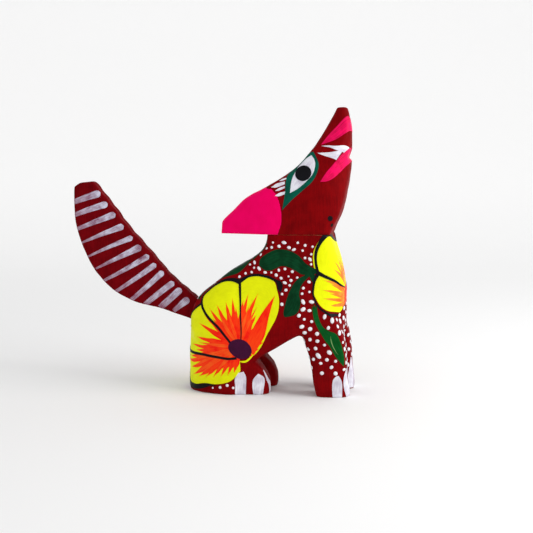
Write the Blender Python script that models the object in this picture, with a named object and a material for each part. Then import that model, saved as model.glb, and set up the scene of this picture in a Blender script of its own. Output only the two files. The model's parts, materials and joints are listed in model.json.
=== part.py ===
"""Howling coyote figure, whittled from copal wood in the Oaxacan manner: a seated body, a head glued on a
neck dowel, and a blade-shaped tail that pushes into a drilled socket on its own dowel.

Frame: +Z up, the animal faces +X, and its right side is at -Y. The feet stand on Z = 0.
Sizes below are in millimetres; MM turns them into Blender's metres.
"""

import math

import bmesh
import bpy
from mathutils import Matrix, Vector

MM = 0.001

# Body, seen from the side.
RUMP_X = -7.8          # rearmost point of the seat
HEEL_X = -8.9          # rearmost point at the floor
CHEST_X = 44.0         # foremost point of the chest
NECK_Z = 52.6          # height of the flat joint between body and head
NECK_BACK_X = 18.8     # back of the neck at that joint
NECK_FRONT_X = 39.1    # throat at that joint
BELLY_REAR = (14.5, 11.0)   # where the belly meets the hind feet
ARCH_TOP = (29.8, 20.4)     # top of the arch between hind feet and front legs
TAIL_SEAT_Z = 26.2     # height of the tail's seat on the rump
HIND_TOE_X = 19.6      # front of the hind toes
HIND_FOOT_HEIGHT = 9.5
HIND_FOOT_BACK_X = 0.0
FRONT_FOOT_BACK_X = 34.9
FRONT_FOOT_FRONT_X = 45.6
LEG_TOP_BACK_X = 30.4
STAGGER = 0.8          # the left feet stand this far in front of the right ones

# Widths, from side to side.
BODY_WIDTH = 25.6
CHEST_WIDTH = 23.0
NECK_WIDTH = 20.2
FRONT_LEG_SPAN = 21.0
FRONT_LEG_GAP = 4.0
HIND_FOOT_SPAN = 21.0
HIND_FOOT_GAP = 3.4
HIND_FOOT_LENGTH = 9.5      # of the part in front of the slot's end
THIGH_CENTRE = (7.2, 7.0, 23.4)
THIGH_RADII = (14.4, 6.7, 14.0)

# Head.
HEAD_HEIGHT = 40.6     # from the neck joint to the flat tip of the snout
SNOUT_TIP_LENGTH = 3.6
SNOUT_FRONT_X = 45.3
SKULL_WIDTH = 21.0
SNOUT_TIP_WIDTH = 5.8
EAR_TIP_X = 3.2        # flat ends of the two ears
EAR_TIP_HEIGHT = 4.0
EAR_TIP_WIDTH = 12.0   # outside, across both ears
EAR_NOTCH_DEPTH = 13.0
EAR_NOTCH_WIDTH = 6.0
MOUTH_RISE = 24.0      # height of the mouth's floor above the neck joint
MOUTH_OPENING = 3.8
MOUTH_DEPTH = 1.5

# Tail: a flat blade that widens, bends up and ends in a flat cut.
TAIL_THICKNESS = 4.8
TAIL_SPAN = 42.0       # from the seat back to the rearmost edge
TAIL_RISE = 43.2       # from the seat up to the tip
TAIL_ROOT_HEIGHT = 6.8
TAIL_TIP_LENGTH = 6.4
TAIL_SCALLOPS = 11
TAIL_SCALLOP_DEPTH = 0.35
TAIL_TILT_DEG = 19.0   # the socket points back and this much up
SEAT_MARGIN = 1.5      # width of the flat seat on the rump, over the height of the root that stands on it

# Dowels, their holes and the gaps between pieces.
NECK_DOWEL_DIAMETER = 5.0
NECK_DOWEL_LENGTH = 19.0
NECK_DOWEL_X = 28.5
TAIL_DOWEL_DIAMETER = 3.0
TAIL_DOWEL_LENGTH = 15.0
TAIL_DOWEL_IN_TAIL = 6.0    # how much of the dowel sits in the tail
DOWEL_CLEARANCE = 0.1       # radial, between a dowel and its hole
END_CLEARANCE = 0.6         # between a dowel's end and the bottom of its hole
SEAM = 0.3                  # between two seated faces
DOWEL_CHAMFER = 0.4
ROUND_SIDES = 32

# Whittling and sanding.
GRAIN = 0.85           # edge of the voxels that a blank is shaped with
ROUGH_PASSES = 26      # smoothing of the sawn torso
HEAD_PASSES = 16
FINE_PASSES = 9
OVERCUT = 8.0          # how far a blank runs past a plane that is cut flat afterwards
BODY_FACETS = 0.14     # share of the sanded faces that is kept
HEAD_FACETS = 0.16

FIGURE_TOP = NECK_Z + HEAD_HEIGHT
TAIL_SEAT_X = RUMP_X + 1.6
TAIL_AXIS = Vector((-math.cos(math.radians(TAIL_TILT_DEG)), 0.0, math.sin(math.radians(TAIL_TILT_DEG))))
TAIL_SEAT = Vector((TAIL_SEAT_X, 0.0, TAIL_SEAT_Z))

PAINT = {
    "red_paint": ((0.33, 0.012, 0.016, 1.0), 0.42),
    "bare_copal": ((0.74, 0.55, 0.36, 1.0), 0.7),
}


def clear_scene():
    for obj in list(bpy.data.objects):
        bpy.data.objects.remove(obj)


def material(name):
    colour, roughness = PAINT[name]
    made = bpy.data.materials.get(name) or bpy.data.materials.new(name)
    made.use_nodes = True
    shader = made.node_tree.nodes["Principled BSDF"]
    shader.inputs["Base Color"].default_value = colour
    shader.inputs["Roughness"].default_value = roughness
    shader.inputs["Metallic"].default_value = 0.0
    return made


def link(name, mesh, paint=None):
    obj = bpy.data.objects.new(name, mesh)
    bpy.context.scene.collection.objects.link(obj)
    if paint:
        mesh.materials.append(material(paint))
    return obj


def helper(obj):
    """Marks a blank or a cutter, which is a tool of the model and not a piece of it."""
    obj.hide_render = True
    obj.display_type = "WIRE"
    return obj


def spline(points, steps=6):
    """Points along a smooth curve through the given ones, the last one left out."""
    ends = [points[0], *points, points[-1]]
    curve = []
    for before, start, end, after in zip(ends, ends[1:], ends[2:], ends[3:]):
        for step in range(steps):
            t = step / steps
            curve.append(tuple(
                0.5 * (2 * b + (c - a) * t + (2 * a - 5 * b + 4 * c - d) * t ** 2
                       + (3 * b - a - 3 * c + d) * t ** 3)
                for a, b, c, d in zip(before, start, end, after)
            ))
    return curve


def outline(*runs):
    """A closed outline of smooth runs that meet at corners; each run starts where the last one ends."""
    return [point for run in runs for point in (spline(run) if len(run) > 2 else run[:-1])]


def egg(back, front, width, back_power, front_power, across=0.0, steps=40):
    """A closed oval in plan, blunter where its power is higher."""
    middle, reach = (back + front) / 2, (front - back) / 2
    points = []
    for step in range(steps):
        turn = 2 * math.pi * step / steps
        power = front_power if math.cos(turn) > 0 else back_power
        x = math.copysign(abs(math.cos(turn)) ** (2 / power), math.cos(turn))
        y = math.copysign(abs(math.sin(turn)) ** (2 / power), math.sin(turn))
        points.append((middle + reach * x, across + width / 2 * y))
    return points


def prism(name, points, axis, low, high):
    """A closed outline pushed out along an axis: (x, z) along Y, (y, z) along X or (x, y) along Z."""
    place = {
        "X": lambda u, v, depth: (depth, u, v),
        "Y": lambda u, v, depth: (u, depth, v),
        "Z": lambda u, v, depth: (u, v, depth),
    }[axis]
    shape = bmesh.new()
    base = [shape.verts.new(Vector(place(u, v, low)) * MM) for u, v in points]
    face = shape.faces.new(base)
    pushed = bmesh.ops.extrude_face_region(shape, geom=[face])
    step = Vector(place(0, 0, high - low)) * MM
    top = [item for item in pushed["geom"] if isinstance(item, bmesh.types.BMVert)]
    bmesh.ops.translate(shape, verts=top, vec=step)
    bmesh.ops.recalc_face_normals(shape, faces=shape.faces)
    mesh = bpy.data.meshes.new(name)
    shape.to_mesh(mesh)
    shape.free()
    return helper(link(name, mesh))


def ball(name, centre, radii):
    shape = bmesh.new()
    bmesh.ops.create_uvsphere(shape, u_segments=24, v_segments=16, radius=1.0)
    bmesh.ops.scale(shape, verts=shape.verts, vec=Vector(radii) * MM)
    bmesh.ops.translate(shape, verts=shape.verts, vec=Vector(centre) * MM)
    mesh = bpy.data.meshes.new(name)
    shape.to_mesh(mesh)
    shape.free()
    return helper(link(name, mesh))


def rod(name, start, axis, length, diameter, chamfer=0.0, flare=0.0):
    """A round rod from a point along an axis, which may widen on its way or have chamfered ends."""
    shape = bmesh.new()
    bmesh.ops.create_cone(
        shape, cap_ends=True, segments=ROUND_SIDES, radius1=diameter / 2 * MM,
        radius2=(diameter / 2 + flare) * MM, depth=length * MM,
    )
    if chamfer:
        ends = [edge for edge in shape.edges if len({round(v.co.z, 9) for v in edge.verts}) == 1]
        bmesh.ops.bevel(shape, geom=ends, offset=chamfer * MM, segments=1, affect="EDGES")
    turn = Vector(axis).to_track_quat("Z", "Y").to_matrix().to_4x4()
    middle = Vector(start) + Vector(axis) * (length / 2)
    bmesh.ops.transform(shape, matrix=Matrix.Translation(middle * MM) @ turn, verts=shape.verts)
    mesh = bpy.data.meshes.new(name)
    shape.to_mesh(mesh)
    shape.free()
    return link(name, mesh)


def cut(obj, tool, operation="DIFFERENCE"):
    step = obj.modifiers.new(operation.title() + " " + tool.name, "BOOLEAN")
    step.operation = operation
    step.solver = "EXACT"
    step.object = tool


def sand(obj, passes, facets=None):
    """Turns joined blanks into one skin with softened edges, and may keep only a share of its facets."""
    skin = obj.modifiers.new("Skin", "REMESH")
    skin.mode = "VOXEL"
    skin.voxel_size = GRAIN * MM
    soften = obj.modifiers.new("Sanding", "SMOOTH")
    soften.factor = 0.5
    soften.iterations = passes
    if facets:
        thin = obj.modifiers.new("Facets", "DECIMATE")
        thin.ratio = facets
        thin.use_symmetry = True
        thin.symmetry_axis = "Y"


def piece(blank, name, paint):
    """Makes a shaped blank a visible piece of the figure."""
    blank.name = name
    blank.data.materials.append(material(paint))
    blank.hide_render = False
    blank.display_type = "TEXTURED"
    return blank


def back_height(share):
    """Height of a point on the back, as a share of the way from the tail's seat to the neck joint."""
    return TAIL_SEAT_Z + share * (NECK_Z - TAIL_SEAT_Z)


def snout_height(share):
    """Height of a point on the head, as a share of the way from the neck joint to the snout's tip."""
    return NECK_Z + share * HEAD_HEIGHT


def mirrored_prism(name, half_widths):
    """A front-view outline from (half width, height) stations, the same on both sides, pushed along X."""
    right = spline(half_widths) + [half_widths[-1]]
    left = [(-half, z) for half, z in reversed(right)]
    return prism(name, right + left, "X", HEEL_X - OVERCUT, SNOUT_FRONT_X + OVERCUT)


def torso_blank():
    """Seat, back, chest and neck, sawn from the side, the front and above, and rounded all over."""
    slot_end = HIND_TOE_X - HIND_FOOT_LENGTH
    side = outline(
        [BELLY_REAR, (slot_end, BELLY_REAR[1] - 6), (slot_end, -OVERCUT)],
        [(slot_end, -OVERCUT), (HEEL_X, -OVERCUT)],
        [(HEEL_X, -OVERCUT), (HEEL_X, 4), (HEEL_X + 0.1, TAIL_SEAT_Z - 16), (RUMP_X, TAIL_SEAT_Z - 4),
         (RUMP_X + 1.8, back_height(0.07)), (RUMP_X + 5.2, back_height(0.25)),
         (RUMP_X + 13.6, back_height(0.52)), (NECK_BACK_X - 3.2, back_height(0.75)),
         (NECK_BACK_X - 0.4, NECK_Z - 3), (NECK_BACK_X - 0.4, NECK_Z + OVERCUT)],
        [(NECK_BACK_X - 0.4, NECK_Z + OVERCUT), (NECK_FRONT_X, NECK_Z + OVERCUT)],
        [(NECK_FRONT_X, NECK_Z + OVERCUT), (NECK_FRONT_X, NECK_Z), (CHEST_X - 2, NECK_Z - 9),
         (CHEST_X, NECK_Z - 20), (CHEST_X, ARCH_TOP[1] + 6), (CHEST_X, ARCH_TOP[1])],
        [(CHEST_X, ARCH_TOP[1]), ARCH_TOP],
        [ARCH_TOP, BELLY_REAR],
    )
    torso = prism("torso_side", side, "Y", -BODY_WIDTH, BODY_WIDTH)
    front = [
        (BODY_WIDTH / 2 - 2, -2 * OVERCUT), (BODY_WIDTH / 2 - 1, 0.0), (BODY_WIDTH / 2, ARCH_TOP[1]),
        (CHEST_WIDTH / 2, back_height(0.35)), (NECK_WIDTH / 2, NECK_Z),
        (NECK_WIDTH / 2, NECK_Z + 2 * OVERCUT),
    ]
    cut(torso, mirrored_prism("torso_front", front), "INTERSECT")
    plan = egg(HEEL_X, CHEST_X, BODY_WIDTH, 2.4, 2.6)
    cut(torso, prism("torso_plan", plan, "Z", -2 * OVERCUT, FIGURE_TOP), "INTERSECT")
    sand(torso, ROUGH_PASSES)
    return torso


def pair_of_legs(name, side, back, front, span, gap):
    """A right and a left leg with the same side view, each rounded in plan."""
    width = (span - gap) / 2
    legs = []
    for hand in (-1, 1):
        ahead = STAGGER * (1 + hand) / 2
        leg = prism(name + "_side", [(x + ahead, z) for x, z in side], "Y", -span, span)
        plan = egg(back + ahead, front + ahead, width, 2.6, 3.0, across=hand * (gap + width) / 2)
        cut(leg, prism(name + "_plan", plan, "Z", -2 * OVERCUT, FIGURE_TOP), "INTERSECT")
        legs.append(leg)
    return legs


def front_legs():
    side = outline(
        [(FRONT_FOOT_BACK_X, -OVERCUT), (FRONT_FOOT_BACK_X, 0), (FRONT_FOOT_BACK_X - 1.1, 5),
         (FRONT_FOOT_BACK_X - 2.1, 12), (LEG_TOP_BACK_X, ARCH_TOP[1]), (LEG_TOP_BACK_X + 3, ARCH_TOP[1] + 8)],
        [(LEG_TOP_BACK_X + 3, ARCH_TOP[1] + 8), (CHEST_X - 5, ARCH_TOP[1] + 8)],
        [(CHEST_X - 5, ARCH_TOP[1] + 8), (CHEST_X - 0.6, ARCH_TOP[1]), (CHEST_X + 0.8, 9),
         (FRONT_FOOT_FRONT_X, 1), (FRONT_FOOT_FRONT_X, -OVERCUT)],
        [(FRONT_FOOT_FRONT_X, -OVERCUT), (FRONT_FOOT_BACK_X, -OVERCUT)],
    )
    back, front = LEG_TOP_BACK_X - 1, FRONT_FOOT_FRONT_X
    return pair_of_legs("front_leg", side, back, front, FRONT_LEG_SPAN, FRONT_LEG_GAP)


def hind_feet():
    side = outline(
        [(HIND_FOOT_BACK_X, -OVERCUT), (HIND_FOOT_BACK_X, HIND_FOOT_HEIGHT + 3)],
        [(HIND_FOOT_BACK_X, HIND_FOOT_HEIGHT + 3), (HIND_TOE_X - 7, HIND_FOOT_HEIGHT + 3)],
        [(HIND_TOE_X - 7, HIND_FOOT_HEIGHT + 3), (HIND_TOE_X - 3.2, HIND_FOOT_HEIGHT),
         (HIND_TOE_X - 0.4, HIND_FOOT_HEIGHT - 4), (HIND_TOE_X, 2), (HIND_TOE_X, -OVERCUT)],
        [(HIND_TOE_X, -OVERCUT), (HIND_FOOT_BACK_X, -OVERCUT)],
    )
    return pair_of_legs("hind_foot", side, HIND_FOOT_BACK_X, HIND_TOE_X, HIND_FOOT_SPAN, HIND_FOOT_GAP)


def head_blank():
    """Skull, snout and ears, sawn from the side, the front and above, and rounded all over."""
    tip_back = SNOUT_FRONT_X - 1.3 - SNOUT_TIP_LENGTH
    side = outline(
        [(NECK_FRONT_X, NECK_Z - OVERCUT), (NECK_FRONT_X, NECK_Z), (SNOUT_FRONT_X - 3, snout_height(0.18)),
         (SNOUT_FRONT_X - 1, snout_height(0.4)), (SNOUT_FRONT_X, snout_height(0.58)),
         (SNOUT_FRONT_X, snout_height(0.8)), (SNOUT_FRONT_X - 0.8, snout_height(0.93)),
         (SNOUT_FRONT_X - 2.0, snout_height(1.04)), (SNOUT_FRONT_X - 2.0, FIGURE_TOP + OVERCUT)],
        [(SNOUT_FRONT_X - 2.0, FIGURE_TOP + OVERCUT), (tip_back + 1.6, FIGURE_TOP + OVERCUT)],
        [(tip_back + 1.6, FIGURE_TOP + OVERCUT), (tip_back + 0.6, snout_height(1.04)),
         (tip_back - 3.4, snout_height(0.84)), (tip_back - 7.0, snout_height(0.69)),
         (tip_back - 12.4, snout_height(0.53)), (tip_back - 20.6, snout_height(0.395)),
         (tip_back - 29.0, snout_height(0.285)),
         (EAR_TIP_X + 3.8, snout_height(0.185)), (EAR_TIP_X, NECK_Z + EAR_TIP_HEIGHT),
         (EAR_TIP_X - OVERCUT, NECK_Z + EAR_TIP_HEIGHT - OVERCUT)],
        [(EAR_TIP_X - OVERCUT, NECK_Z + EAR_TIP_HEIGHT - OVERCUT), (EAR_TIP_X - OVERCUT, NECK_Z - OVERCUT)],
        [(EAR_TIP_X - OVERCUT, NECK_Z - OVERCUT), (NECK_FRONT_X, NECK_Z - OVERCUT)],
    )
    head = prism("head_side", side, "Y", -BODY_WIDTH, BODY_WIDTH)
    front = [
        (NECK_WIDTH / 2, NECK_Z - 2 * OVERCUT), (NECK_WIDTH / 2 + 0.2, NECK_Z),
        (SKULL_WIDTH / 2, snout_height(0.2)), (SKULL_WIDTH / 2 - 0.8, snout_height(0.42)),
        (SKULL_WIDTH / 2 - 3.0, snout_height(0.64)),
        (SNOUT_TIP_WIDTH / 2 + 1.6, snout_height(0.82)), (SNOUT_TIP_WIDTH / 2, FIGURE_TOP),
        (SNOUT_TIP_WIDTH / 2 - 0.6, FIGURE_TOP + 2 * OVERCUT),
    ]
    cut(head, mirrored_prism("head_front", front), "INTERSECT")
    half, tip_half = SKULL_WIDTH / 2, EAR_TIP_WIDTH / 2
    brow_x = NECK_DOWEL_X
    face = egg(NECK_BACK_X - 6, SNOUT_FRONT_X, SKULL_WIDTH, 2.4, 2.4)
    skull = sorted((point for point in face if point[0] > brow_x), key=lambda point: point[1])
    rear = spline([(brow_x, half), (NECK_BACK_X, half - 0.4), (EAR_TIP_X + 6, tip_half + 1.6),
                   (EAR_TIP_X, tip_half)])
    rear += [(EAR_TIP_X, tip_half), (EAR_TIP_X - 2 * OVERCUT, tip_half - 1.0)]
    plan = skull + rear + [(x, -y) for x, y in reversed(rear)]
    cut(head, prism("head_plan", plan, "Z", 0, FIGURE_TOP + 3 * OVERCUT), "INTERSECT")
    sand(head, HEAD_PASSES, HEAD_FACETS)
    return head


def move_origin(obj, point):
    """Puts an object's origin at a point, in millimetres, and leaves its shape where it was."""
    obj.data.transform(Matrix.Translation(-Vector(point) * MM))
    obj.location = Vector(point) * MM


def slab(name, low, high):
    """A box between two corners."""
    points = [(low[0], low[1]), (high[0], low[1]), (high[0], high[1]), (low[0], high[1])]
    return prism(name, points, "Z", low[2], high[2])


def hole(name, start, axis, length, diameter):
    """A drilled hole with running clearance, which starts outside the piece it enters."""
    start = Vector(start) - Vector(axis) * OVERCUT
    return helper(rod(name, start, axis, length + OVERCUT + END_CLEARANCE, diameter + 2 * DOWEL_CLEARANCE))


def make_body():
    """The seated animal up to its neck: legs, feet and thighs joined to the torso in one block."""
    x, y, z = THIGH_CENTRE
    thighs = [ball("thigh", (x, side * y, z), THIGH_RADII) for side in (-1, 1)]
    first, *others = front_legs()
    for joined in (torso_blank(), *others, *hind_feet(), *thighs):
        cut(first, joined, "UNION")
    sand(first, FINE_PASSES, BODY_FACETS)
    body = piece(first, "body", "red_paint")
    far = 80.0
    cut(body, slab("floor", (-far, -far, -far), (far, far, 0.0)))
    cut(body, slab("neck_cut", (-far, -far, NECK_Z - SEAM / 2), (far, far, FIGURE_TOP + far)))
    cut(body, hole("neck_hole_low", (NECK_DOWEL_X, 0, NECK_Z), (0, 0, -1), NECK_DOWEL_LENGTH / 2,
                   NECK_DOWEL_DIAMETER))
    seat = rod("tail_seat_cut", TAIL_SEAT, TAIL_AXIS, OVERCUT, SEAT_MARGIN * TAIL_ROOT_HEIGHT, flare=OVERCUT)
    cut(body, helper(seat))
    cut(body, hole("tail_hole", TAIL_SEAT, -TAIL_AXIS, TAIL_DOWEL_LENGTH - TAIL_DOWEL_IN_TAIL - SEAM,
                   TAIL_DOWEL_DIAMETER))
    return body


def make_head():
    """Skull, snout and two ears from one block, with the mouth and the split between the ears cut in."""
    head = piece(head_blank(), "head", "red_paint")
    far = 80.0
    cut(head, slab("under_head", (-far, -far, -far), (far, far, NECK_Z + SEAM / 2)))
    cut(head, slab("snout_end", (-far, -far, FIGURE_TOP), (far, far, FIGURE_TOP + far)))
    cut(head, slab("ear_ends", (-far, -far, NECK_Z - 1), (EAR_TIP_X, far, FIGURE_TOP)))
    notch_end = EAR_TIP_X + EAR_NOTCH_DEPTH
    notch = [(EAR_TIP_X - OVERCUT, -EAR_NOTCH_WIDTH / 2 - 0.6), (notch_end, -0.25), (notch_end, 0.25),
             (EAR_TIP_X - OVERCUT, EAR_NOTCH_WIDTH / 2 + 0.6)]
    cut(head, prism("ear_notch", notch, "Z", NECK_Z - 1, FIGURE_TOP))
    mouth_z = NECK_Z + MOUTH_RISE
    reach = SNOUT_FRONT_X + OVERCUT
    slope = MOUTH_OPENING / MOUTH_DEPTH
    mouth = [(SNOUT_FRONT_X - MOUTH_DEPTH, mouth_z), (reach, mouth_z),
             (reach, mouth_z + slope * (MOUTH_DEPTH + OVERCUT))]
    cut(head, prism("mouth", mouth, "Y", -BODY_WIDTH, BODY_WIDTH))
    cut(head, hole("neck_hole_high", (NECK_DOWEL_X, 0, NECK_Z), (0, 0, 1), NECK_DOWEL_LENGTH / 2,
                   NECK_DOWEL_DIAMETER))
    return head


def make_neck_dowel():
    dowel = rod("neck_dowel", (NECK_DOWEL_X, 0, NECK_Z - NECK_DOWEL_LENGTH / 2), (0, 0, 1), NECK_DOWEL_LENGTH,
                NECK_DOWEL_DIAMETER, DOWEL_CHAMFER)
    dowel.data.materials.append(material("bare_copal"))
    return dowel


def make_tail_dowel():
    start = TAIL_SEAT + TAIL_AXIS * (SEAM + TAIL_DOWEL_IN_TAIL)
    dowel = rod("tail_dowel", start, -TAIL_AXIS, TAIL_DOWEL_LENGTH, TAIL_DOWEL_DIAMETER, DOWEL_CHAMFER)
    dowel.data.materials.append(material("bare_copal"))
    move_origin(dowel, TAIL_SEAT)
    return dowel


def scalloped(points):
    """Adds the shallow knife scallops along an edge, given as points about evenly spaced."""
    last = len(points) - 1
    waved = []
    for index, (x, z) in enumerate(points):
        ripple = abs(math.sin(math.pi * TAIL_SCALLOPS * index / last)) - 0.5
        waved.append((x + 0.8 * TAIL_SCALLOP_DEPTH * ripple, z + 0.6 * TAIL_SCALLOP_DEPTH * ripple))
    return waved


def make_tail():
    """The blade in side view: root, lower edge, flat tip and scalloped upper edge."""
    up = Vector((TAIL_AXIS.z, 0, -TAIL_AXIS.x))
    face = TAIL_SEAT + TAIL_AXIS * SEAM
    root_low, root_high = (face - up * s * TAIL_ROOT_HEIGHT / 2 for s in (1, -1))
    past_low, past_high = (point - TAIL_AXIS * OVERCUT for point in (root_low, root_high))
    x, z = face.x, face.z

    def at(back, rise):
        return (x - back * TAIL_SPAN, z + rise * TAIL_RISE)

    tip_low = at(1.0, 0.955)
    tip_high = (tip_low[0] + TAIL_TIP_LENGTH, z + TAIL_RISE)
    lower = [(root_low.x, root_low.z), at(0.3, 0.01), at(0.5, 0.055), at(0.67, 0.137), at(0.817, 0.275),
             at(0.915, 0.44), at(0.985, 0.64), at(1.0, 0.78), tip_low]
    upper = spline([tip_high, at(0.7, 0.825), at(0.55, 0.635), at(0.37, 0.44), at(0.2, 0.258),
                    at(0.04, 0.13), (root_high.x, root_high.z)], 10)
    upper = scalloped(upper + [(root_high.x, root_high.z)])
    side = [(past_low.x, past_low.z)] + spline(lower) + [tip_low, (tip_low[0] + 2, z + 0.985 * TAIL_RISE)]
    side += upper + [(past_high.x, past_high.z)]
    tail = prism("tail", side, "Y", -TAIL_THICKNESS / 2, TAIL_THICKNESS / 2)
    piece(tail, "tail", "red_paint")
    move_origin(tail, TAIL_SEAT)
    rounded = tail.modifiers.new("Rounded edges", "BEVEL")
    rounded.width = 0.7 * MM
    rounded.segments = 1
    rounded.angle_limit = math.radians(60)
    cut(tail, helper(rod("tail_root_cut", face, -TAIL_AXIS, 2 * OVERCUT, 2 * TAIL_ROOT_HEIGHT)))
    cut(tail, hole("tail_bore", face, TAIL_AXIS, TAIL_DOWEL_IN_TAIL, TAIL_DOWEL_DIAMETER))
    return tail


def centre_over_origin(pieces):
    """Carries pieces and cutters on one empty that centres the whole figure's box over the origin."""
    stand = bpy.data.objects.new("stand", None)
    for obj in list(bpy.data.objects):
        if obj is not stand:
            obj.parent = stand
    bpy.context.scene.collection.objects.link(stand)
    bpy.context.view_layer.update()
    graph = bpy.context.evaluated_depsgraph_get()
    reach = [
        (obj.matrix_world @ vert.co).x for obj in pieces for vert in obj.evaluated_get(graph).data.vertices
    ]
    stand.location.x = -(min(reach) + max(reach)) / 2


def main():
    clear_scene()
    centre_over_origin([make_body(), make_head(), make_neck_dowel(), make_tail_dowel(), make_tail()])


main()
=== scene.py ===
"""A howling coyote whittled from copal wood and painted by hand with acrylics.

The seated body, the head and the push-in tail are carved skins over the plain blanks. Each flower, leaf,
eye, claw and dot is a thin coat of paint of its own, laid on the carved skin. Lengths are in millimetres
until they reach a mesh, and MM turns them into metres. The animal faces +X, and its right side is at -Y.
"""

from __future__ import annotations

import json
import logging
import math
import random
from collections.abc import Callable, Sequence
from dataclasses import dataclass, field
from enum import Enum

import bpy
from mathutils import Matrix, Quaternion, Vector, noise
from mathutils.bvhtree import BVHTree

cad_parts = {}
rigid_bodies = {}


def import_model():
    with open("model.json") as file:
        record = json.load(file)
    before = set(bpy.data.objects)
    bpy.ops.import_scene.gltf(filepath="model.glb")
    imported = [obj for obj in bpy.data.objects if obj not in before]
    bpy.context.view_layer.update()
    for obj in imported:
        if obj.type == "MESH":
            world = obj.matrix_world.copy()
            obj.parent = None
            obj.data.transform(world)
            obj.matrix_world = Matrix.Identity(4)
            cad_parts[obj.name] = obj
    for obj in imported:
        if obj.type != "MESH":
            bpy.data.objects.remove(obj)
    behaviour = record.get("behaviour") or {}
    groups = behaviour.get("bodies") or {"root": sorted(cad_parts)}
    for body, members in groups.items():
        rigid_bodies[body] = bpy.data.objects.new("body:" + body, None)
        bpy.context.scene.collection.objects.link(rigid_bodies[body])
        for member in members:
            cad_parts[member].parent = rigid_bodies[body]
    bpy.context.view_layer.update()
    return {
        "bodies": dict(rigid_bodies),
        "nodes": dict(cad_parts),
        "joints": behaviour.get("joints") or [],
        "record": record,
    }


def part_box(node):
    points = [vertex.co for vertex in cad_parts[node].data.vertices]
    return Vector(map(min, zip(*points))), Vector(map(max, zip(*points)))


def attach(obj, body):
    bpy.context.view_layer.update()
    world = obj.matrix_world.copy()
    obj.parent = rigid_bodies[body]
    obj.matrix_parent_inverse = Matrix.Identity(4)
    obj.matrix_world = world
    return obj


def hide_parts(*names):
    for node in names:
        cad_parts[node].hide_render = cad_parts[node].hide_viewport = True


MM = 0.001
# Steps between two points of a drawn line, before the line is spaced evenly.
FINE_STEPS = 12
LOG = logging.getLogger("coyote")

Point = tuple[float, float]
Place = tuple[float, float, float]
Line = Sequence[Point]
Shape = tuple[Line, Line]
Widths = Sequence[float]
RIGHT, FRONT, UP = Vector((0, -1, 0)), Vector((1, 0, 0)), Vector((0, 0, 1))


class Hand(Enum):
    """Which side of the animal a motif is painted on."""

    RIGHT = -1
    LEFT = 1

    @property
    def tag(self) -> str:
        """The ending of a piece's name."""
        return self.name.lower()


class Grain(Enum):
    """What a finish's pattern follows."""

    UPRIGHT = "along the block"
    STROKE = "along the brush stroke"


# ---------------------------------------------------------------- finishes


def linear(code: str) -> tuple[float, float, float, float]:
    """Turns an sRGB hex value into a linear colour.

    Args:
        code: a value such as "#8B0F14".

    Returns:
        Red, green, blue and alpha.
    """
    parts = [int(code[at:at + 2], 16) / 255 for at in (1, 3, 5)]
    red, green, blue = (p / 12.92 if p <= 0.04045 else ((p + 0.055) / 1.055) ** 2.4 for p in parts)
    return red, green, blue, 1.0


def add_node(tree: bpy.types.NodeTree, kind: str, inputs: dict | None = None, **settings) -> bpy.types.Node:
    """Adds a node with its settings, values and links.

    Args:
        tree: the material's or the world's node tree.
        kind: the node's type name.
        inputs: values or output sockets, by the input's name or number.
        **settings: properties of the node.

    Returns:
        The new node.
    """
    made = tree.nodes.new(kind)
    for key, value in settings.items():
        setattr(made, key, value)
    for key, value in (inputs or {}).items():
        if isinstance(value, bpy.types.NodeSocket):
            tree.links.new(value, made.inputs[key])
        else:
            made.inputs[key].default_value = value
    return made


@dataclass(frozen=True)
class Finish:
    """A finish with a name, made into a material once."""

    name: str

    def make(self) -> bpy.types.Material:
        """Builds the material, or finds it if it is there already.

        Returns:
            The material.
        """
        made = bpy.data.materials.get(self.name)
        if made is None:
            made = bpy.data.materials.new(self.name)
            made.use_nodes = True
            self.dress(made.node_tree, made.node_tree.nodes["Principled BSDF"])
        return made

    def dress(self, tree: bpy.types.NodeTree, shader: bpy.types.Node) -> None:
        """Adds the finish's own nodes to a new material."""
        raise NotImplementedError


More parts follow.
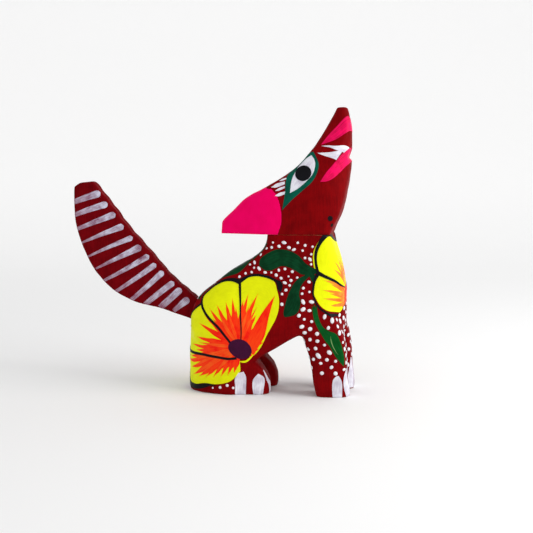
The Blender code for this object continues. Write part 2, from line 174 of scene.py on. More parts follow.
@dataclass(frozen=True)
class Acrylic(Finish):
    """Artist's acrylic brushed by hand on sanded wood: a satin coat with the tracks of the brush's hairs.

    The coat is the colour where the paint is thick, thin is where the brush ran dry, and tip, where there is
    one, is what the stroke fades to along its length. A track is as wide as the tuft of hairs that draws it.
    Real fluorescent pigment turns ultraviolet light into its own colour. Here a painted glow stands in for
    that: the paint gives off a little light of its own colour, whatever lights it.
    """

    coat: str
    thin: str
    grain: Grain = Grain.STROKE
    tip: str = ""
    fade: tuple[float, float] = (0.3, 1.0)
    streaks: float = 0.35
    track_mm: float = 0.28
    track_stretch: float = 0.09
    clouds_per_mm: float = 0.35
    roughness: float = 0.42
    relief_mm: float = 0.08
    sheen: float = 0.1
    painted_glow: float = 0.0

    def dress(self, tree: bpy.types.NodeTree, shader: bpy.types.Node) -> None:
        """Adds the brush tracks, the thick and thin places and the fade.

        Args:
            tree: the material's nodes.
            shader: its Principled shader.
        """
        place = add_node(tree, "ShaderNodeTexCoord")
        if self.grain is Grain.STROKE:
            source = place.outputs["UV"]
            stretch = (1 / self.track_mm, self.track_stretch / self.track_mm, 1)
        else:
            wide = 1 / self.track_mm / MM
            source, stretch = place.outputs["Object"], (wide, wide, self.track_stretch * wide)
        tracks = add_node(tree, "ShaderNodeMapping", {"Vector": source, "Scale": stretch})
        hairs = add_node(tree, "ShaderNodeTexNoise", {
            "Vector": tracks.outputs["Vector"], "Scale": 1.0, "Detail": 3.0, "Roughness": 0.6,
        })
        # Clouds a few millimetres across are where the coat dried thicker or thinner.
        clouds = add_node(tree, "ShaderNodeTexNoise", {
            "Vector": place.outputs["Object"], "Scale": self.clouds_per_mm / MM, "Detail": 2.0,
        })
        both = add_node(tree, "ShaderNodeMath", {0: hairs.outputs["Fac"], 1: clouds.outputs["Fac"]},
                        operation="ADD").outputs["Value"]
        share = add_node(tree, "ShaderNodeMapRange", {
            "Value": both, "From Min": 0.8, "From Max": 1.25, "To Min": 0.0, "To Max": self.streaks,
        })
        colour = add_node(tree, "ShaderNodeMix", {
            0: share.outputs["Result"], 6: linear(self.coat), 7: linear(self.thin),
        }, data_type="RGBA").outputs[2]
        if self.tip:
            # The hairs make the fade ragged: some tracks run out of paint before others. The sum reaches
            # about 1.5 at the stroke's tip.
            reach = add_node(tree, "ShaderNodeAttribute", attribute_name="reach").outputs["Fac"]
            ragged = add_node(tree, "ShaderNodeMath", {0: reach, 1: hairs.outputs["Fac"], 2: reach},
                              operation="MULTIPLY_ADD")
            faded = add_node(tree, "ShaderNodeMapRange", {
                "Value": ragged.outputs["Value"],
                "From Min": self.fade[0] * 1.5, "From Max": self.fade[1] * 1.5,
            })
            colour = add_node(tree, "ShaderNodeMix", {
                0: faded.outputs["Result"], 6: colour, 7: linear(self.tip),
            }, data_type="RGBA").outputs[2]
        tree.links.new(colour, shader.inputs["Base Color"])
        gloss = add_node(tree, "ShaderNodeMapRange", {
            "Value": both, "From Min": 0.7, "From Max": 1.3,
            "To Min": self.roughness - 0.06, "To Max": self.roughness + 0.1,
        })
        tree.links.new(gloss.outputs["Result"], shader.inputs["Roughness"])
        relief = add_node(tree, "ShaderNodeBump", {
            "Height": hairs.outputs["Fac"], "Strength": 0.6, "Distance": self.relief_mm * MM,
        })
        tree.links.new(relief.outputs["Normal"], shader.inputs["Normal"])
        shader.inputs["IOR"].default_value = 1.48
        shader.inputs["Specular IOR Level"].default_value = self.sheen
        # A painted glow: the colour is given off as light, however the lamps fall on it.
        if self.painted_glow:
            tree.links.new(colour, shader.inputs["Emission Color"])
            shader.inputs["Emission Strength"].default_value = self.painted_glow


@dataclass(frozen=True)
class BareCopal(Finish):
    """Copal wood as the knife leaves it: pale tan, dull, with fine darker pores along the block."""

    wood: str
    pore: str
    pore_mm: float = 0.45
    pore_stretch: float = 0.08

    def dress(self, tree: bpy.types.NodeTree, shader: bpy.types.Node) -> None:
        """Adds the pores as darker, sunken streaks.

        Args:
            tree: the material's nodes.
            shader: its Principled shader.
        """
        place = add_node(tree, "ShaderNodeTexCoord")
        wide = 1 / self.pore_mm / MM
        along = add_node(tree, "ShaderNodeMapping", {
            "Vector": place.outputs["Object"], "Scale": (self.pore_stretch * wide, wide, wide),
        })
        pores = add_node(tree, "ShaderNodeTexNoise", {
            "Vector": along.outputs["Vector"], "Scale": 1.0, "Detail": 4.0,
        })
        share = add_node(tree, "ShaderNodeMapRange", {
            "Value": pores.outputs["Fac"], "From Min": 0.42, "From Max": 0.7,
        })
        colour = add_node(tree, "ShaderNodeMix", {
            0: share.outputs["Result"], 6: linear(self.wood), 7: linear(self.pore),
        }, data_type="RGBA")
        tree.links.new(colour.outputs[2], shader.inputs["Base Color"])
        relief = add_node(tree, "ShaderNodeBump", {
            "Height": pores.outputs["Fac"], "Strength": 0.5, "Distance": 0.1 * MM,
        })
        tree.links.new(relief.outputs["Normal"], shader.inputs["Normal"])
        shader.inputs["Roughness"].default_value = 0.72


@dataclass(frozen=True)
class MattPaper(Finish):
    """Seamless studio paper, white and without gloss. The lift is extra light at the sweep's back."""

    sheet: str
    lift: float = 0.2
    lift_over_m: float = 0.7

    def dress(self, tree: bpy.types.NodeTree, shader: bpy.types.Node) -> None:
        """Sets the paper, and lights the back of the sweep, which the key light doesn't reach.

        Args:
            tree: the material's nodes.
            shader: its Principled shader.
        """
        shader.inputs["Base Color"].default_value = linear(self.sheet)
        shader.inputs["Roughness"].default_value = 0.9
        shader.inputs["Specular IOR Level"].default_value = 0.1
        shader.inputs["Emission Color"].default_value = linear("#FFFFFF")
        place = add_node(tree, "ShaderNodeTexCoord")
        split = add_node(tree, "ShaderNodeSeparateXYZ", {0: place.outputs["Object"]})
        far = add_node(tree, "ShaderNodeMath", {0: split.outputs["Y"], 1: split.outputs["Z"]},
                       operation="ADD")
        back = add_node(tree, "ShaderNodeMapRange", {
            "Value": far.outputs["Value"], "From Min": 0.0, "From Max": self.lift_over_m, "To Min": 0.0,
            "To Max": self.lift,
        })
        tree.links.new(back.outputs["Result"], shader.inputs["Emission Strength"])


# A deep crimson ground, nearly flat, with faint darker tracks up the block.
BODY_RED = Acrylic("cochineal_red_acrylic", "#820307", "#690105", grain=Grain.UPRIGHT, streaks=0.8,
                   track_mm=0.5, roughness=0.5, sheen=0.03)
# The same red a shade darker, browner and duller, for the tail.
TAIL_RED = Acrylic("maroon_acrylic", "#74040C", "#5E0208", grain=Grain.UPRIGHT, streaks=0.8, track_mm=0.5,
                   roughness=0.55, sheen=0.02)
# A flat hot pink. It is mixed into the head's own paint, so it has no material of its own.
EAR_PINK = Acrylic("fluorescent_pink_acrylic", "#FF006A", "#EE0058")
# Hot pink drawn in single strokes, with red showing through where the brush ran dry.
LIP_PINK = Acrylic("fluorescent_pink_acrylic_strokes", "#F4005E", "#B8003A", streaks=0.9)
# A lemon yellow, a little greenish where thin, with a painted glow that makes the petals look lit.
PETAL_YELLOW = Acrylic("fluorescent_yellow_acrylic_painted_glow", "#E8EE00", "#D6DC00", streaks=0.6, roughness=0.5,
                       painted_glow=0.03)
# Hot red at the flower's eye, running out to orange-red at the flames' tips, with a faint painted glow.
FLAME_RED = Acrylic("vermilion_acrylic", "#F20800", "#FF3C0A", tip="#FF480C", fade=(0.4, 1.1), streaks=1.0,
                    track_mm=0.4, painted_glow=0.04)
# Red and orange on one brush: paler streaks that give the flames their depth.
FLAME_STREAK = Acrylic("vermilion_and_orange_acrylic", "#FF3408", "#FF6A1C", tip="#FF5A14", fade=(0.4, 1.0),
                       streaks=0.9, track_mm=0.35)
# Orange that breaks up into yellow, for the softer flames on the breast.
FLAME_ORANGE = Acrylic("orange_acrylic", "#F25C10", "#F8A038", tip="#F29A30", fade=(0.3, 1.0), streaks=1.0,
                       track_mm=0.35)
# Nearly black until the light catches it, then wine purple.
DISC_PURPLE = Acrylic("aubergine_acrylic", "#38022A", "#480A3A", streaks=0.6)
# An even blue-black, the glossiest of the paints.
LINE_BLACK = Acrylic("black_acrylic", "#07070C", "#101016", streaks=0.6, roughness=0.4)
# Dark bluish green with lighter tracks along each leaf.
LEAF_GREEN = Acrylic("viridian_acrylic", "#002E14", "#064425", streaks=0.9, track_mm=0.45, sheen=0.06)
# The same green mixed with a little yellow, brighter on the foreleg.
LEG_GREEN = Acrylic("leaf_green_acrylic", "#004814", "#066026", streaks=0.8, track_mm=0.45, sheen=0.06)
# Blue-green, dark where the strokes overlap round the eye.
EYE_GREEN = Acrylic("teal_acrylic", "#005E4A", "#033C30", streaks=0.9, sheen=0.06)
# Chalky white, greyish lilac where the red beneath shows through the hair tracks.
CHALK_WHITE = Acrylic("chalk_white_acrylic", "#EAEAF2", "#B9AEC2", streaks=0.8)
# White pressed on thick, so it hides the red.
DOT_WHITE = Acrylic("white_acrylic_dots", "#F0F0F4", "#D8DCE2", grain=Grain.UPRIGHT, streaks=0.5)
# Nearly dry white: clear hair tracks, and maroon breaking through towards the stripe's end.
TAIL_WHITE = Acrylic("dry_brushed_white_acrylic", "#D4D4E8", "#84506A", tip="#843A50", fade=(0.45, 1.3),
                     streaks=1.0, track_mm=0.27)
# A thin pale green line that lifts the leaf's middle.
VEIN = Acrylic("pale_vein_acrylic", "#8FB070", "#5E9650", streaks=0.8)
# Pale tan on the soles, seats and dowels, the only dull wood on the figure.
COPAL = BareCopal("bare_copal_wood", "#C9A576", "#9C7447")
# Near white, so that the shadow shows and the edges don't.
PAPER = MattPaper("matt_white_paper", "#F2F2F2")


# ---------------------------------------------------------------- modelling tools


def only(obj: bpy.types.Object) -> None:
    """Deselects everything and makes one object the active one.

    Args:
        obj: the object that the next operators act on.
    """
    bpy.ops.object.select_all(action="DESELECT")
    obj.select_set(True)
    bpy.context.view_layer.objects.active = obj


def apply_modifier(obj: bpy.types.Object, kind: str, **settings) -> None:
    """Adds a modifier with its settings and applies it.

    Args:
        obj: the object that is changed.
        kind: the modifier's type name.
        **settings: properties of the modifier.
    """
    only(obj)
    step = obj.modifiers.new(kind.title(), kind)
    for key, value in settings.items():
        setattr(step, key, value)
    bpy.ops.object.modifier_apply(modifier=step.name)


def in_edit_mode(obj: bpy.types.Object, step: Callable[[], object]) -> None:
    """Runs an edit-mode operator on all of an object's mesh.

    Args:
        obj: the object that is changed.
        step: the operator's call.
    """
    only(obj)
    bpy.ops.object.mode_set(mode="EDIT")
    bpy.ops.mesh.select_all(action="SELECT")
    step()
    bpy.ops.object.mode_set(mode="OBJECT")


def merge_doubles(obj: bpy.types.Object, gap_mm: float) -> None:
    """Merges the points of an object's mesh that lie closer than a gap."""
    in_edit_mode(obj, lambda: bpy.ops.mesh.remove_doubles(threshold=gap_mm * MM))


def keep_above_floor(obj: bpy.types.Object) -> None:
    """Lifts any point of a mesh that dips under the floor up to it."""
    for vertex in obj.data.vertices:
        vertex.co.z = max(vertex.co.z, 0.0)


def joined(parts: list[bpy.types.Object], name: str) -> bpy.types.Object:
    """Joins objects into the first one and names it.

    Args:
        parts: the objects.
        name: the name of the joined piece and its mesh.

    Returns:
        The joined piece.
    """
    only(parts[0])
    for part in parts:
        part.select_set(True)
    if len(parts) > 1:
        bpy.ops.object.join()
    parts[0].name = parts[0].data.name = name
    return parts[0]


def smooth_line(points: Line, count: int) -> list[Point]:
    """Evenly spaced points on a smooth curve through the given ones.

    Args:
        points: the points that the curve goes through, in order.
        count: how many steps the curve is divided into.

    Returns:
        count + 1 points, the ends included.
    """
    ends = [points[0], *points, points[-1]]
    fine: list[Point] = []
    for a, b, c, d in zip(ends, ends[1:], ends[2:], ends[3:]):
        for step in range(FINE_STEPS):
            t = step / FINE_STEPS
            fine.append(tuple(
                0.5 * (2 * q + (r - p) * t + (2 * p - 5 * q + 4 * r - s) * t ** 2
                       + (3 * q - p - 3 * r + s) * t ** 3)
                for p, q, r, s in zip(a, b, c, d)
            ))
    fine.append(points[-1])
    walked = [0.0]
    for a, b in zip(fine, fine[1:]):
        walked.append(walked[-1] + math.dist(a, b))
    line, at = [], 0
    for step in range(count + 1):
        goal = walked[-1] * step / count
        while at < len(fine) - 2 and walked[at + 1] < goal:
            at += 1
        span = walked[at + 1] - walked[at]
        share = min(1.0, (goal - walked[at]) / span) if span else 0.0
        line.append(tuple(a + (b - a) * share for a, b in zip(fine[at], fine[at + 1])))
    return line


def edges_of(middle: list[Point], halves: list[float]) -> tuple[list[Point], list[Point]]:
    """The two edges of a stroke.

    Args:
        middle: the stroke's middle line.
        halves: half the stroke's width at each point of it.

    Returns:
        The left edge and the right edge.
    """
    one, other = [], []
    for row, (spot, half) in enumerate(zip(middle, halves)):
        before, after = middle[max(0, row - 1)], middle[min(len(middle) - 1, row + 1)]
        way = Vector((after[0] - before[0], after[1] - before[1])).normalized()
        one.append((spot[0] - way.y * half, spot[1] + way.x * half))
        other.append((spot[0] + way.y * half, spot[1] - way.x * half))
    return one, other


@dataclass(frozen=True)
class Canvas:
    """A curved sheet laid round part of the figure, on which a motif is drawn flat.

    A point of the sheet is reached from the centre: as far round the centre as it lies from the sheet's own
    zero. A sheet with no radius is flat.
    """

    centre: Place
    radius: float
    zero: Point = (0.0, 0.0)
    facing: Vector = field(default_factory=lambda: RIGHT.copy())
    across: Vector = field(default_factory=lambda: FRONT.copy())
    start: float = 45.0

    def ray(self, spot: Point, hand: Hand) -> tuple[Vector, Vector]:
        """The start and direction of the line from outside through a point of the sheet to the centre.

        Args:
            spot: the point on the sheet, drawn for the animal's right side.
            hand: the side that it is painted on.

        Returns:
            The start in metres, and the direction.
        """
        u, v = spot[0] - self.zero[0], spot[1] - self.zero[1]
        far = math.hypot(u, v)
        outward, middle = self.facing.copy(), Vector(self.centre)
        if not self.radius:
            middle += self.across * u + UP * v
        elif far > 1e-6:
            turn = far / self.radius
            outward = self.facing * math.cos(turn) + (self.across * u + UP * v) * (math.sin(turn) / far)
        if hand is Hand.LEFT:
            outward.y, middle.y = -outward.y, -middle.y
        return (middle + outward * self.start) * MM, -outward


# The sheets are named for the parts that they wrap.
HAUNCH = Canvas((8.3, 0, 24), 15, zero=(8.3, 24))
FLANK = Canvas((24, 0, 34), 18, zero=(24, 34))
CHEST = Canvas((33.5, 0, 34), 13, facing=FRONT.copy(), across=RIGHT.copy())
FACE = Canvas((34, 0, 72), 11, zero=(34, 72))
FORELEG = Canvas((38, -6, 18), 8, start=14)
FORE_FOOT = Canvas((41, -6, 4.5), 5, start=12)
HIND_FOOT = Canvas((12, -5, 6), 6, start=12)
FORE_FRONT = Canvas((40, 0, 5), 0, zero=(0, 5), facing=FRONT.copy(), across=RIGHT.copy(), start=20)
TAIL_FACE = Canvas((-24, 0, 44), 0, zero=(-24, 44), start=20)


@dataclass
class Carving:
    """A piece of the figure as the knife and the sandpaper leave it, ready for the paint.

    Its skin is rebuilt at the scale of a sanding mark over the plain blank. Flat seats keep their place, and
    the ends and hollows where no brush reached stay bare. A seat is a point and the way that it faces. A
    lump is how often the knife's marks rise in a millimetre, and how high.
    """

    name: str
    node: str
    body: str
    slot: str
    finishes: tuple[Finish, Finish]
    seats: tuple[tuple[Vector, Vector], ...]
    bare: Callable[[Vector, Vector], bool]
    grain_mm: float = 0.4
    sandings: int = 12
    broad_lump: tuple[float, float] = (0.23, 0.11)
    fine_lump: tuple[float, float] = (0.55, 0.035)
    fixed_mm: float = 0.3
    blend_mm: float = 1.2
    lower_seat_mm: float = 0.0
    seat_layer_mm: float = 0.15

    def carve(self, blank: bpy.types.Object) -> bpy.types.Object:
        """Rebuilds the blank's skin, sands it and gives it its finishes.

        Args:
            blank: the blank, which isn't changed.

        Returns:
            The carved piece.
        """
        skin = bpy.data.objects.new(self.name, blank.data.copy())
        skin.data.name = self.name
        bpy.context.scene.collection.objects.link(skin)
        merge_doubles(skin, 0.001)
        apply_modifier(skin, "REMESH", mode="VOXEL", voxel_size=self.grain_mm * MM)
        free = skin.vertex_groups.new(name="free")
        for vertex in skin.data.vertices:
            free.add([vertex.index], self.freedom(vertex.co), "REPLACE")
        apply_modifier(skin, "SMOOTH", factor=0.5, iterations=self.sandings, vertex_group="free")
        self.whittle(skin)
        self.finish(skin)
        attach(skin, self.body)
        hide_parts(self.node)
        LOG.info("%s: %d faces", self.name, len(skin.data.polygons))
        return skin

    def whittle(self, skin: bpy.types.Object) -> None:
        """Makes the skin as uneven as hand work is, and brings a raised seat down.

        Args:
            skin: the sanded skin.
        """
        seat_top = (self.seats[0][0].z + self.seat_layer_mm) * MM
        normals = [vertex.normal.copy() for vertex in skin.data.vertices]
        for vertex, normal in zip(skin.data.vertices, normals):
            spot = vertex.co / MM
            broad = noise.noise(spot * self.broad_lump[0]) * self.broad_lump[1]
            fine = noise.noise(spot * self.fine_lump[0] + Vector((7, 3, 1))) * self.fine_lump[1]
            vertex.co += normal * (broad + fine) * self.freedom(vertex.co) * MM
            if self.lower_seat_mm and vertex.co.z < seat_top:
                vertex.co.z -= self.lower_seat_mm * MM
        keep_above_floor(skin)

    def freedom(self, spot: Vector) -> float:
        """How freely a point may move: 0 in the plane of a flat seat, 1 away from it."""
        gap = min(abs((spot / MM - point).dot(normal)) for point, normal in self.seats)
        return max(0.0, min(1.0, (gap - self.fixed_mm) / self.blend_mm))

    def finish(self, skin: bpy.types.Object) -> None:
        """Gives the skin its paint, and bare wood where the paint stops.

        Args:
            skin: the whittled skin.
        """
        skin.data.materials.clear()
        for finish in self.finishes:
            skin.data.materials.append(finish.make())
        for face in skin.data.polygons:
            face.material_index = int(self.bare(face.center / MM, face.normal))
        only(skin)
        bpy.ops.object.shade_smooth()


class Surface:
    """A carved skin that paint is laid on."""

    def __init__(self, skin: bpy.types.Object, body: str, slot: str) -> None:
        """Takes the skin.

        Args:
            skin: the carved skin.
            body: the body that it rides on.
            slot: the name of its material slot; not used.
        """
        self.skin, self.body, self.slot = skin, body, slot
        mesh = skin.data
        self.tree = BVHTree.FromPolygons([v.co for v in mesh.vertices], [p.vertices for p in mesh.polygons])

    def touch(self, start: Vector, way: Vector) -> tuple[Vector, Vector] | None:
        """Where a line meets the skin, and the skin's normal there."""
        spot, normal, _, _ = self.tree.ray_cast(start, way)
        return (spot, normal) if spot is not None else None


@dataclass
class Coat:
    """One layer of paint on a surface, gathered stroke by stroke and then made one piece.

    The lift is how far the layer lies over the wood, so that later layers cover earlier ones.
    """

    name: str
    surface: Surface
    finish: Acrylic
    hand: Hand = Hand.RIGHT
    lift_mm: float = 0.06
    thickness_mm: float = 0.2
    strokes: list[bpy.types.Object] = field(default_factory=list)

    def fill(self, canvas: Canvas, one: Line, other: Line, cell: float = 0.7, lift: float = 0.0) -> None:
        """Fills the shape between two edges that run the same way.

        Args:
            canvas: the sheet that the edges are drawn on.
            one: points of the first edge, from the stroke's root to its tip.
            other: points of the second edge.
            cell: the size of the fill's faces.
            lift: extra height over the coat's own.
        """
        length = max(math.dist(a, b) for a, b in ((one[0], one[-1]), (other[0], other[-1])))
        # A stroke bends most along its length, so its faces are a little shorter than they are wide.
        rows = max(6, round(1.4 * length / cell))
        first, second = smooth_line(one, rows), smooth_line(other, rows)
        widest = max(math.dist(a, b) for a, b in zip(first, second))
        cols = max(2, round(widest / cell))
        bpy.ops.object.select_all(action="DESELECT")
        bpy.ops.mesh.primitive_grid_add(x_subdivisions=cols, y_subdivisions=rows, size=2)
        patch = bpy.context.object
        reach = patch.data.attributes.new("reach", "FLOAT", "POINT")
        missed, met, normals = 0, None, []
        for vertex in patch.data.vertices:
            side, along = (vertex.co.x + 1) / 2, (vertex.co.y + 1) / 2
            row = min(rows, round(along * rows))
            a, b = first[row], second[row]
            spot = (a[0] + (b[0] - a[0]) * side, a[1] + (b[1] - a[1]) * side)
            found = self.surface.touch(*canvas.ray(spot, self.hand))
            missed += found is None
            met = found or met
            normals.append(met[1])
            reach.data[vertex.index].value = along
            vertex.co = met[0] + met[1] * (self.lift_mm + lift) * MM
        if missed:
            LOG.info("%s: %d points miss the skin and stay by their neighbours", self.name, missed)
        keep_above_floor(patch)
        for uv in patch.data.uv_layers[0].data:
            uv.uv = (uv.uv[0] * widest, uv.uv[1] * length)
        self.keep(patch, normals)

    def keep(self, patch: bpy.types.Object, normals: list[Vector]) -> None:
        """Turns a patch's faces outwards and adds it to the coat.

        Args:
            patch: the patch.
            normals: the skin's normal at each of its points.
        """
        patch.data.update()
        facing = sum(face.normal.dot(normals[face.vertices[0]]) * face.area for face in patch.data.polygons)
        if facing < 0:
            in_edit_mode(patch, bpy.ops.mesh.flip_normals)
        merge_doubles(patch, 0.004)
        self.strokes.append(patch)

    def ribbon(self, canvas: Canvas, line: Line, widths: Widths, cell: float = 0.45,
               lift: float = 0.0) -> None:
        """Lays a brush stroke along a line.

        Args:
            canvas: the sheet that the line is drawn on.
            line: points of the stroke's middle.
            widths: the stroke's widths, evenly spaced along it.
            cell: the size of the stroke's faces.
            lift: extra height over the coat's own.
        """
        length = sum(math.dist(a, b) for a, b in zip(line, line[1:]))
        rows = max(6, round(length / cell))
        halves = []
        for row in range(rows + 1):
            at = row / rows * (len(widths) - 1)
            low = min(int(at), len(widths) - 2)
            share = at - low
            share = share * share * (3 - 2 * share)
            halves.append((widths[low] * (1 - share) + widths[low + 1] * share) / 2)
        self.fill(canvas, *edges_of(smooth_line(line, rows), halves), cell, lift)

    def spot(self, canvas: Canvas, centre: Point, radii: Point, turn: float = 0.0) -> None:
        """Lays a round or oval spot.

        Args:
            canvas: the sheet that the spot is drawn on.
            centre: its middle.
            radii: half its width and half its height.
            turn: how far it is turned, in radians.
        """
        edges = []
        for way in (1, -1):
            edge = []
            for step in range(25):
                angle = math.pi * step / 24
                u, v = way * radii[0] * math.sin(angle), -radii[1] * math.cos(angle)
                edge.append((centre[0] + u * math.cos(turn) - v * math.sin(turn),
                             centre[1] + u * math.sin(turn) + v * math.cos(turn)))
            edges.append(edge)
        self.fill(canvas, *edges, min(0.5, radii[0] / 3))

    def dry(self) -> bpy.types.Object:
        """Joins the strokes into one piece with a little thickness.

        Returns:
            The painted piece.
        """
        piece = joined(self.strokes, self.name)
        apply_modifier(piece, "SOLIDIFY", thickness=self.thickness_mm * MM, offset=-1.0)
        keep_above_floor(piece)
        piece.data.materials.clear()
        piece.data.materials.append(self.finish.make())
        only(piece)
        bpy.ops.object.shade_smooth_by_angle(angle=math.radians(40))
        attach(piece, self.surface.body)
        LOG.info("%s: %d faces", self.name, len(piece.data.polygons))
        return piece


# ---------------------------------------------------------------- the painted motifs


@dataclass
class HaunchFlower:
    """The big half flower on each thigh: yellow petals round an aubergine eye, with vermilion flames."""

    centre: Point = (11.5, 15.6)
    eye: Point = (3.75, 2.8)
    petal_root: float = 1.6
    flame_root: float = 2.0
    petals: tuple[Line, ...] = (
        ((11.3, 36.8), (13.5, 37.4), (15.9, 37.1), (18.1, 36.1), (19.8, 34.7), (20.9, 32.4), (21.6, 29.9),
         (21.6, 26.4), (20.6, 23.1), (19.4, 20.3), (17.8, 16.9), (16.2, 14.7), (14.6, 13.5)),
        ((-2.1, 30.3), (-1.8, 33.2), (1.2, 35.7), (5.4, 37.1), (8.8, 37.4), (11.3, 36.8)),
        ((-12.5, 11.5), (-13.4, 15.5), (-11.4, 20.0), (-8.8, 24.0), (-5.6, 27.6), (-2.1, 30.3)),
        ((11.2, 10.2), (8.8, 8.9), (4.9, 8.2), (0.8, 7.9), (-1.6, 7.4), (-4.4, 6.9), (-7.6, 7.3),
         (-10.8, 9.3), (-12.5, 11.5)),
    )
    tips: Line = (
        (1.0, 28.9), (3.6, 30.4), (6.9, 31.4), (9.2, 32.8), (10.6, 29.6), (5.4, 26.6), (2.2, 25.6),
        (8.2, 27.4), (13.0, 32.2), (14.4, 33.7), (17.1, 33.3), (12.6, 27.4), (15.4, 27.6), (17.4, 27.0),
        (19.6, 25.4), (19.6, 23.2), (19.4, 20.8), (18.6, 18.3), (17.2, 16.0), (15.2, 13.9),
        (-0.8, 26.4), (-2.8, 23.6), (-3.9, 18.6), (-7.2, 14.8), (-4.8, 13.4),
        (-6.8, 11.4), (-7.8, 9.9), (-5.0, 9.2), (-3.2, 8.3), (-1.0, 8.5), (1.2, 8.7), (3.4, 8.9),
        (5.6, 9.1), (7.6, 9.5), (9.4, 10.0),
    )
    pale_tips: Line = (
        (-4.6, 11.6), (-6.4, 10.5), (-4.4, 9.6), (-2.6, 8.7), (-0.4, 9.1), (3.8, 9.4), (4.4, 27.6),
        (7.6, 28.8), (15.2, 30.4), (17.4, 29.4), (-3.0, 16.6),
    )
    front_flame: Shape = (
        ((20.7, 31.6), (17.6, 25.0), (14.6, 18.6), (13.6, 15.6)),
        ((20.7, 31.6), (20.2, 26.2), (19.0, 20.2), (15.6, 14.2)),
    )
    eye_ring: Line = ((10.6, 12.2), (13.2, 12.4), (15.6, 14.4))
    dividers: tuple[tuple[Line, Widths], ...] = (
        (((12.2, 17.5), (12.5, 21.5), (12.3, 26.0), (12.0, 32.0), (11.3, 36.9)), (0.35, 0.5, 0.75)),
        (((9.4, 15.9), (6.9, 19.2), (4.4, 22.2), (0.5, 25.9), (-1.4, 28.6), (-2.1, 30.6)),
         (0.75, 0.9, 0.8)),
        (((10.4, 12.8), (7.2, 12.3), (3.4, 12.3), (-1.1, 12.6), (-6.8, 12.4), (-12.5, 11.5)),
         (0.5, 0.6, 0.8)),
    )
    top_edge: Line = ((11.3, 36.9), (13.5, 37.5), (15.9, 37.2), (18.1, 36.2), (19.9, 34.9))
    front_edge: Line = ((19.9, 34.9), (20.5, 34.3), (21.0, 33.4), (21.4, 32.2))
    low_edge: Line = (
        (4.6, 8.0), (2.8, 7.9), (0.8, 7.6), (-1.6, 7.1), (-4.4, 6.5), (-7.9, 6.9), (-11.0, 9.0),
        (-12.6, 11.0),
    )

    def paint(self, surface: Surface, hand: Hand) -> list[bpy.types.Object]:
        """Paints the flower on one thigh.

        Args:
            surface: the carved body.
            hand: which thigh.

        Returns:
            The painted pieces.
        """
        rng = random.Random(11 + hand.value)
        petals = Coat(f"haunch_petals_{hand.tag}", surface, PETAL_YELLOW, hand, 0.05)
        flames = Coat(f"haunch_flames_{hand.tag}", surface, FLAME_RED, hand, 0.09)
        pale = Coat(f"haunch_pale_streaks_{hand.tag}", surface, FLAME_STREAK, hand, 0.135)
        lines = Coat(f"haunch_outlines_{hand.tag}", surface, LINE_BLACK, hand, 0.18)
        eye = Coat(f"haunch_eye_{hand.tag}", surface, DISC_PURPLE, hand, 0.22)
        for number, outline in enumerate(self.petals):
            self.petal(petals, outline, 0.002 * number)
        for number, tip in enumerate(self.tips):
            self.flame(flames, tip, rng, 0.001 * number)
        for number, tip in enumerate(self.pale_tips):
            self.flame(pale, tip, rng, 0.001 * number, 0.5)
        flames.fill(HAUNCH, *self.front_flame, 0.7, 0.04)
        petals.ribbon(HAUNCH, self.eye_ring, (0.1, 0.45, 0.45, 0.2), lift=0.06)
        for line, widths in self.dividers:
            lines.ribbon(HAUNCH, line, widths)
        for line, widths, lift in (
            (self.petals[1], (0.6, 0.5, 0.6, 0.6, 0.95), 0.004),
            (self.top_edge, (0.85, 0.4, 0.32, 0.3), 0.008),
            (self.front_edge, (0.25, 0.55, 0.7, 0.2), 0.012),
            (self.petals[2][2:], (0.2, 0.35, 0.6), 0.004),
            (self.low_edge, (0.05, 0.5, 0.7, 0.7, 0.6, 0.4), 0.004),
        ):
            lines.ribbon(HAUNCH, line, widths, lift=lift)
        eye.spot(HAUNCH, self.centre, self.eye)
        return [coat.dry() for coat in (petals, flames, pale, lines, eye)]

    def petal(self, coat: Coat, outline: Line, lift: float) -> None:
        """Fills one petal from the flower's eye to its outline.

        Args:
            coat: the yellow coat.
            outline: the petal's outer edge.
            lift: extra height, so that petals don't share a plane.
        """
        ends = (outline[0], outline[-1])
        start, end = (math.atan2(v - self.centre[1], u - self.centre[0]) for u, v in ends)
        # The inner edge goes the short way round the eye.
        if start < end - math.pi:
            start += 2 * math.pi
        if end < start - math.pi:
            end += 2 * math.pi
        inner = [
            (self.centre[0] + self.petal_root * math.cos(start + (end - start) * step / 8),
             self.centre[1] + self.petal_root * math.sin(start + (end - start) * step / 8))
            for step in range(9)
        ]
        coat.fill(HAUNCH, inner, outline, 0.8, lift)

    def flame(self, coat: Coat, tip: Point, rng: random.Random, lift: float, share: float = 1.0) -> None:
        """Lays one slightly bent flame from the flower's eye to its tip.

        Args:
            coat: the coat that it belongs to.
            tip: where it ends.
            rng: the source of its bend and width.
            lift: extra height, so that flames don't share a plane.
            share: how wide it is beside a full flame.
        """
        way = Vector((tip[0] - self.centre[0], tip[1] - self.centre[1]))
        length = way.length
        way.normalize()
        side = Vector((-way.y, way.x)) * rng.uniform(-0.25, 0.25)
        root = Vector(self.centre) + way * self.flame_root
        middle = Vector(self.centre) + way * length * 0.55 + side
        wide = max(1.7, min(2.1, 0.12 * length + 0.5)) * rng.uniform(0.92, 1.1) * share
        widths = (1.1 * share, wide, wide * 0.98, wide * 0.5, 0.02)
        coat.ribbon(HAUNCH, [tuple(root), tuple(middle), tip], widths, lift=lift)


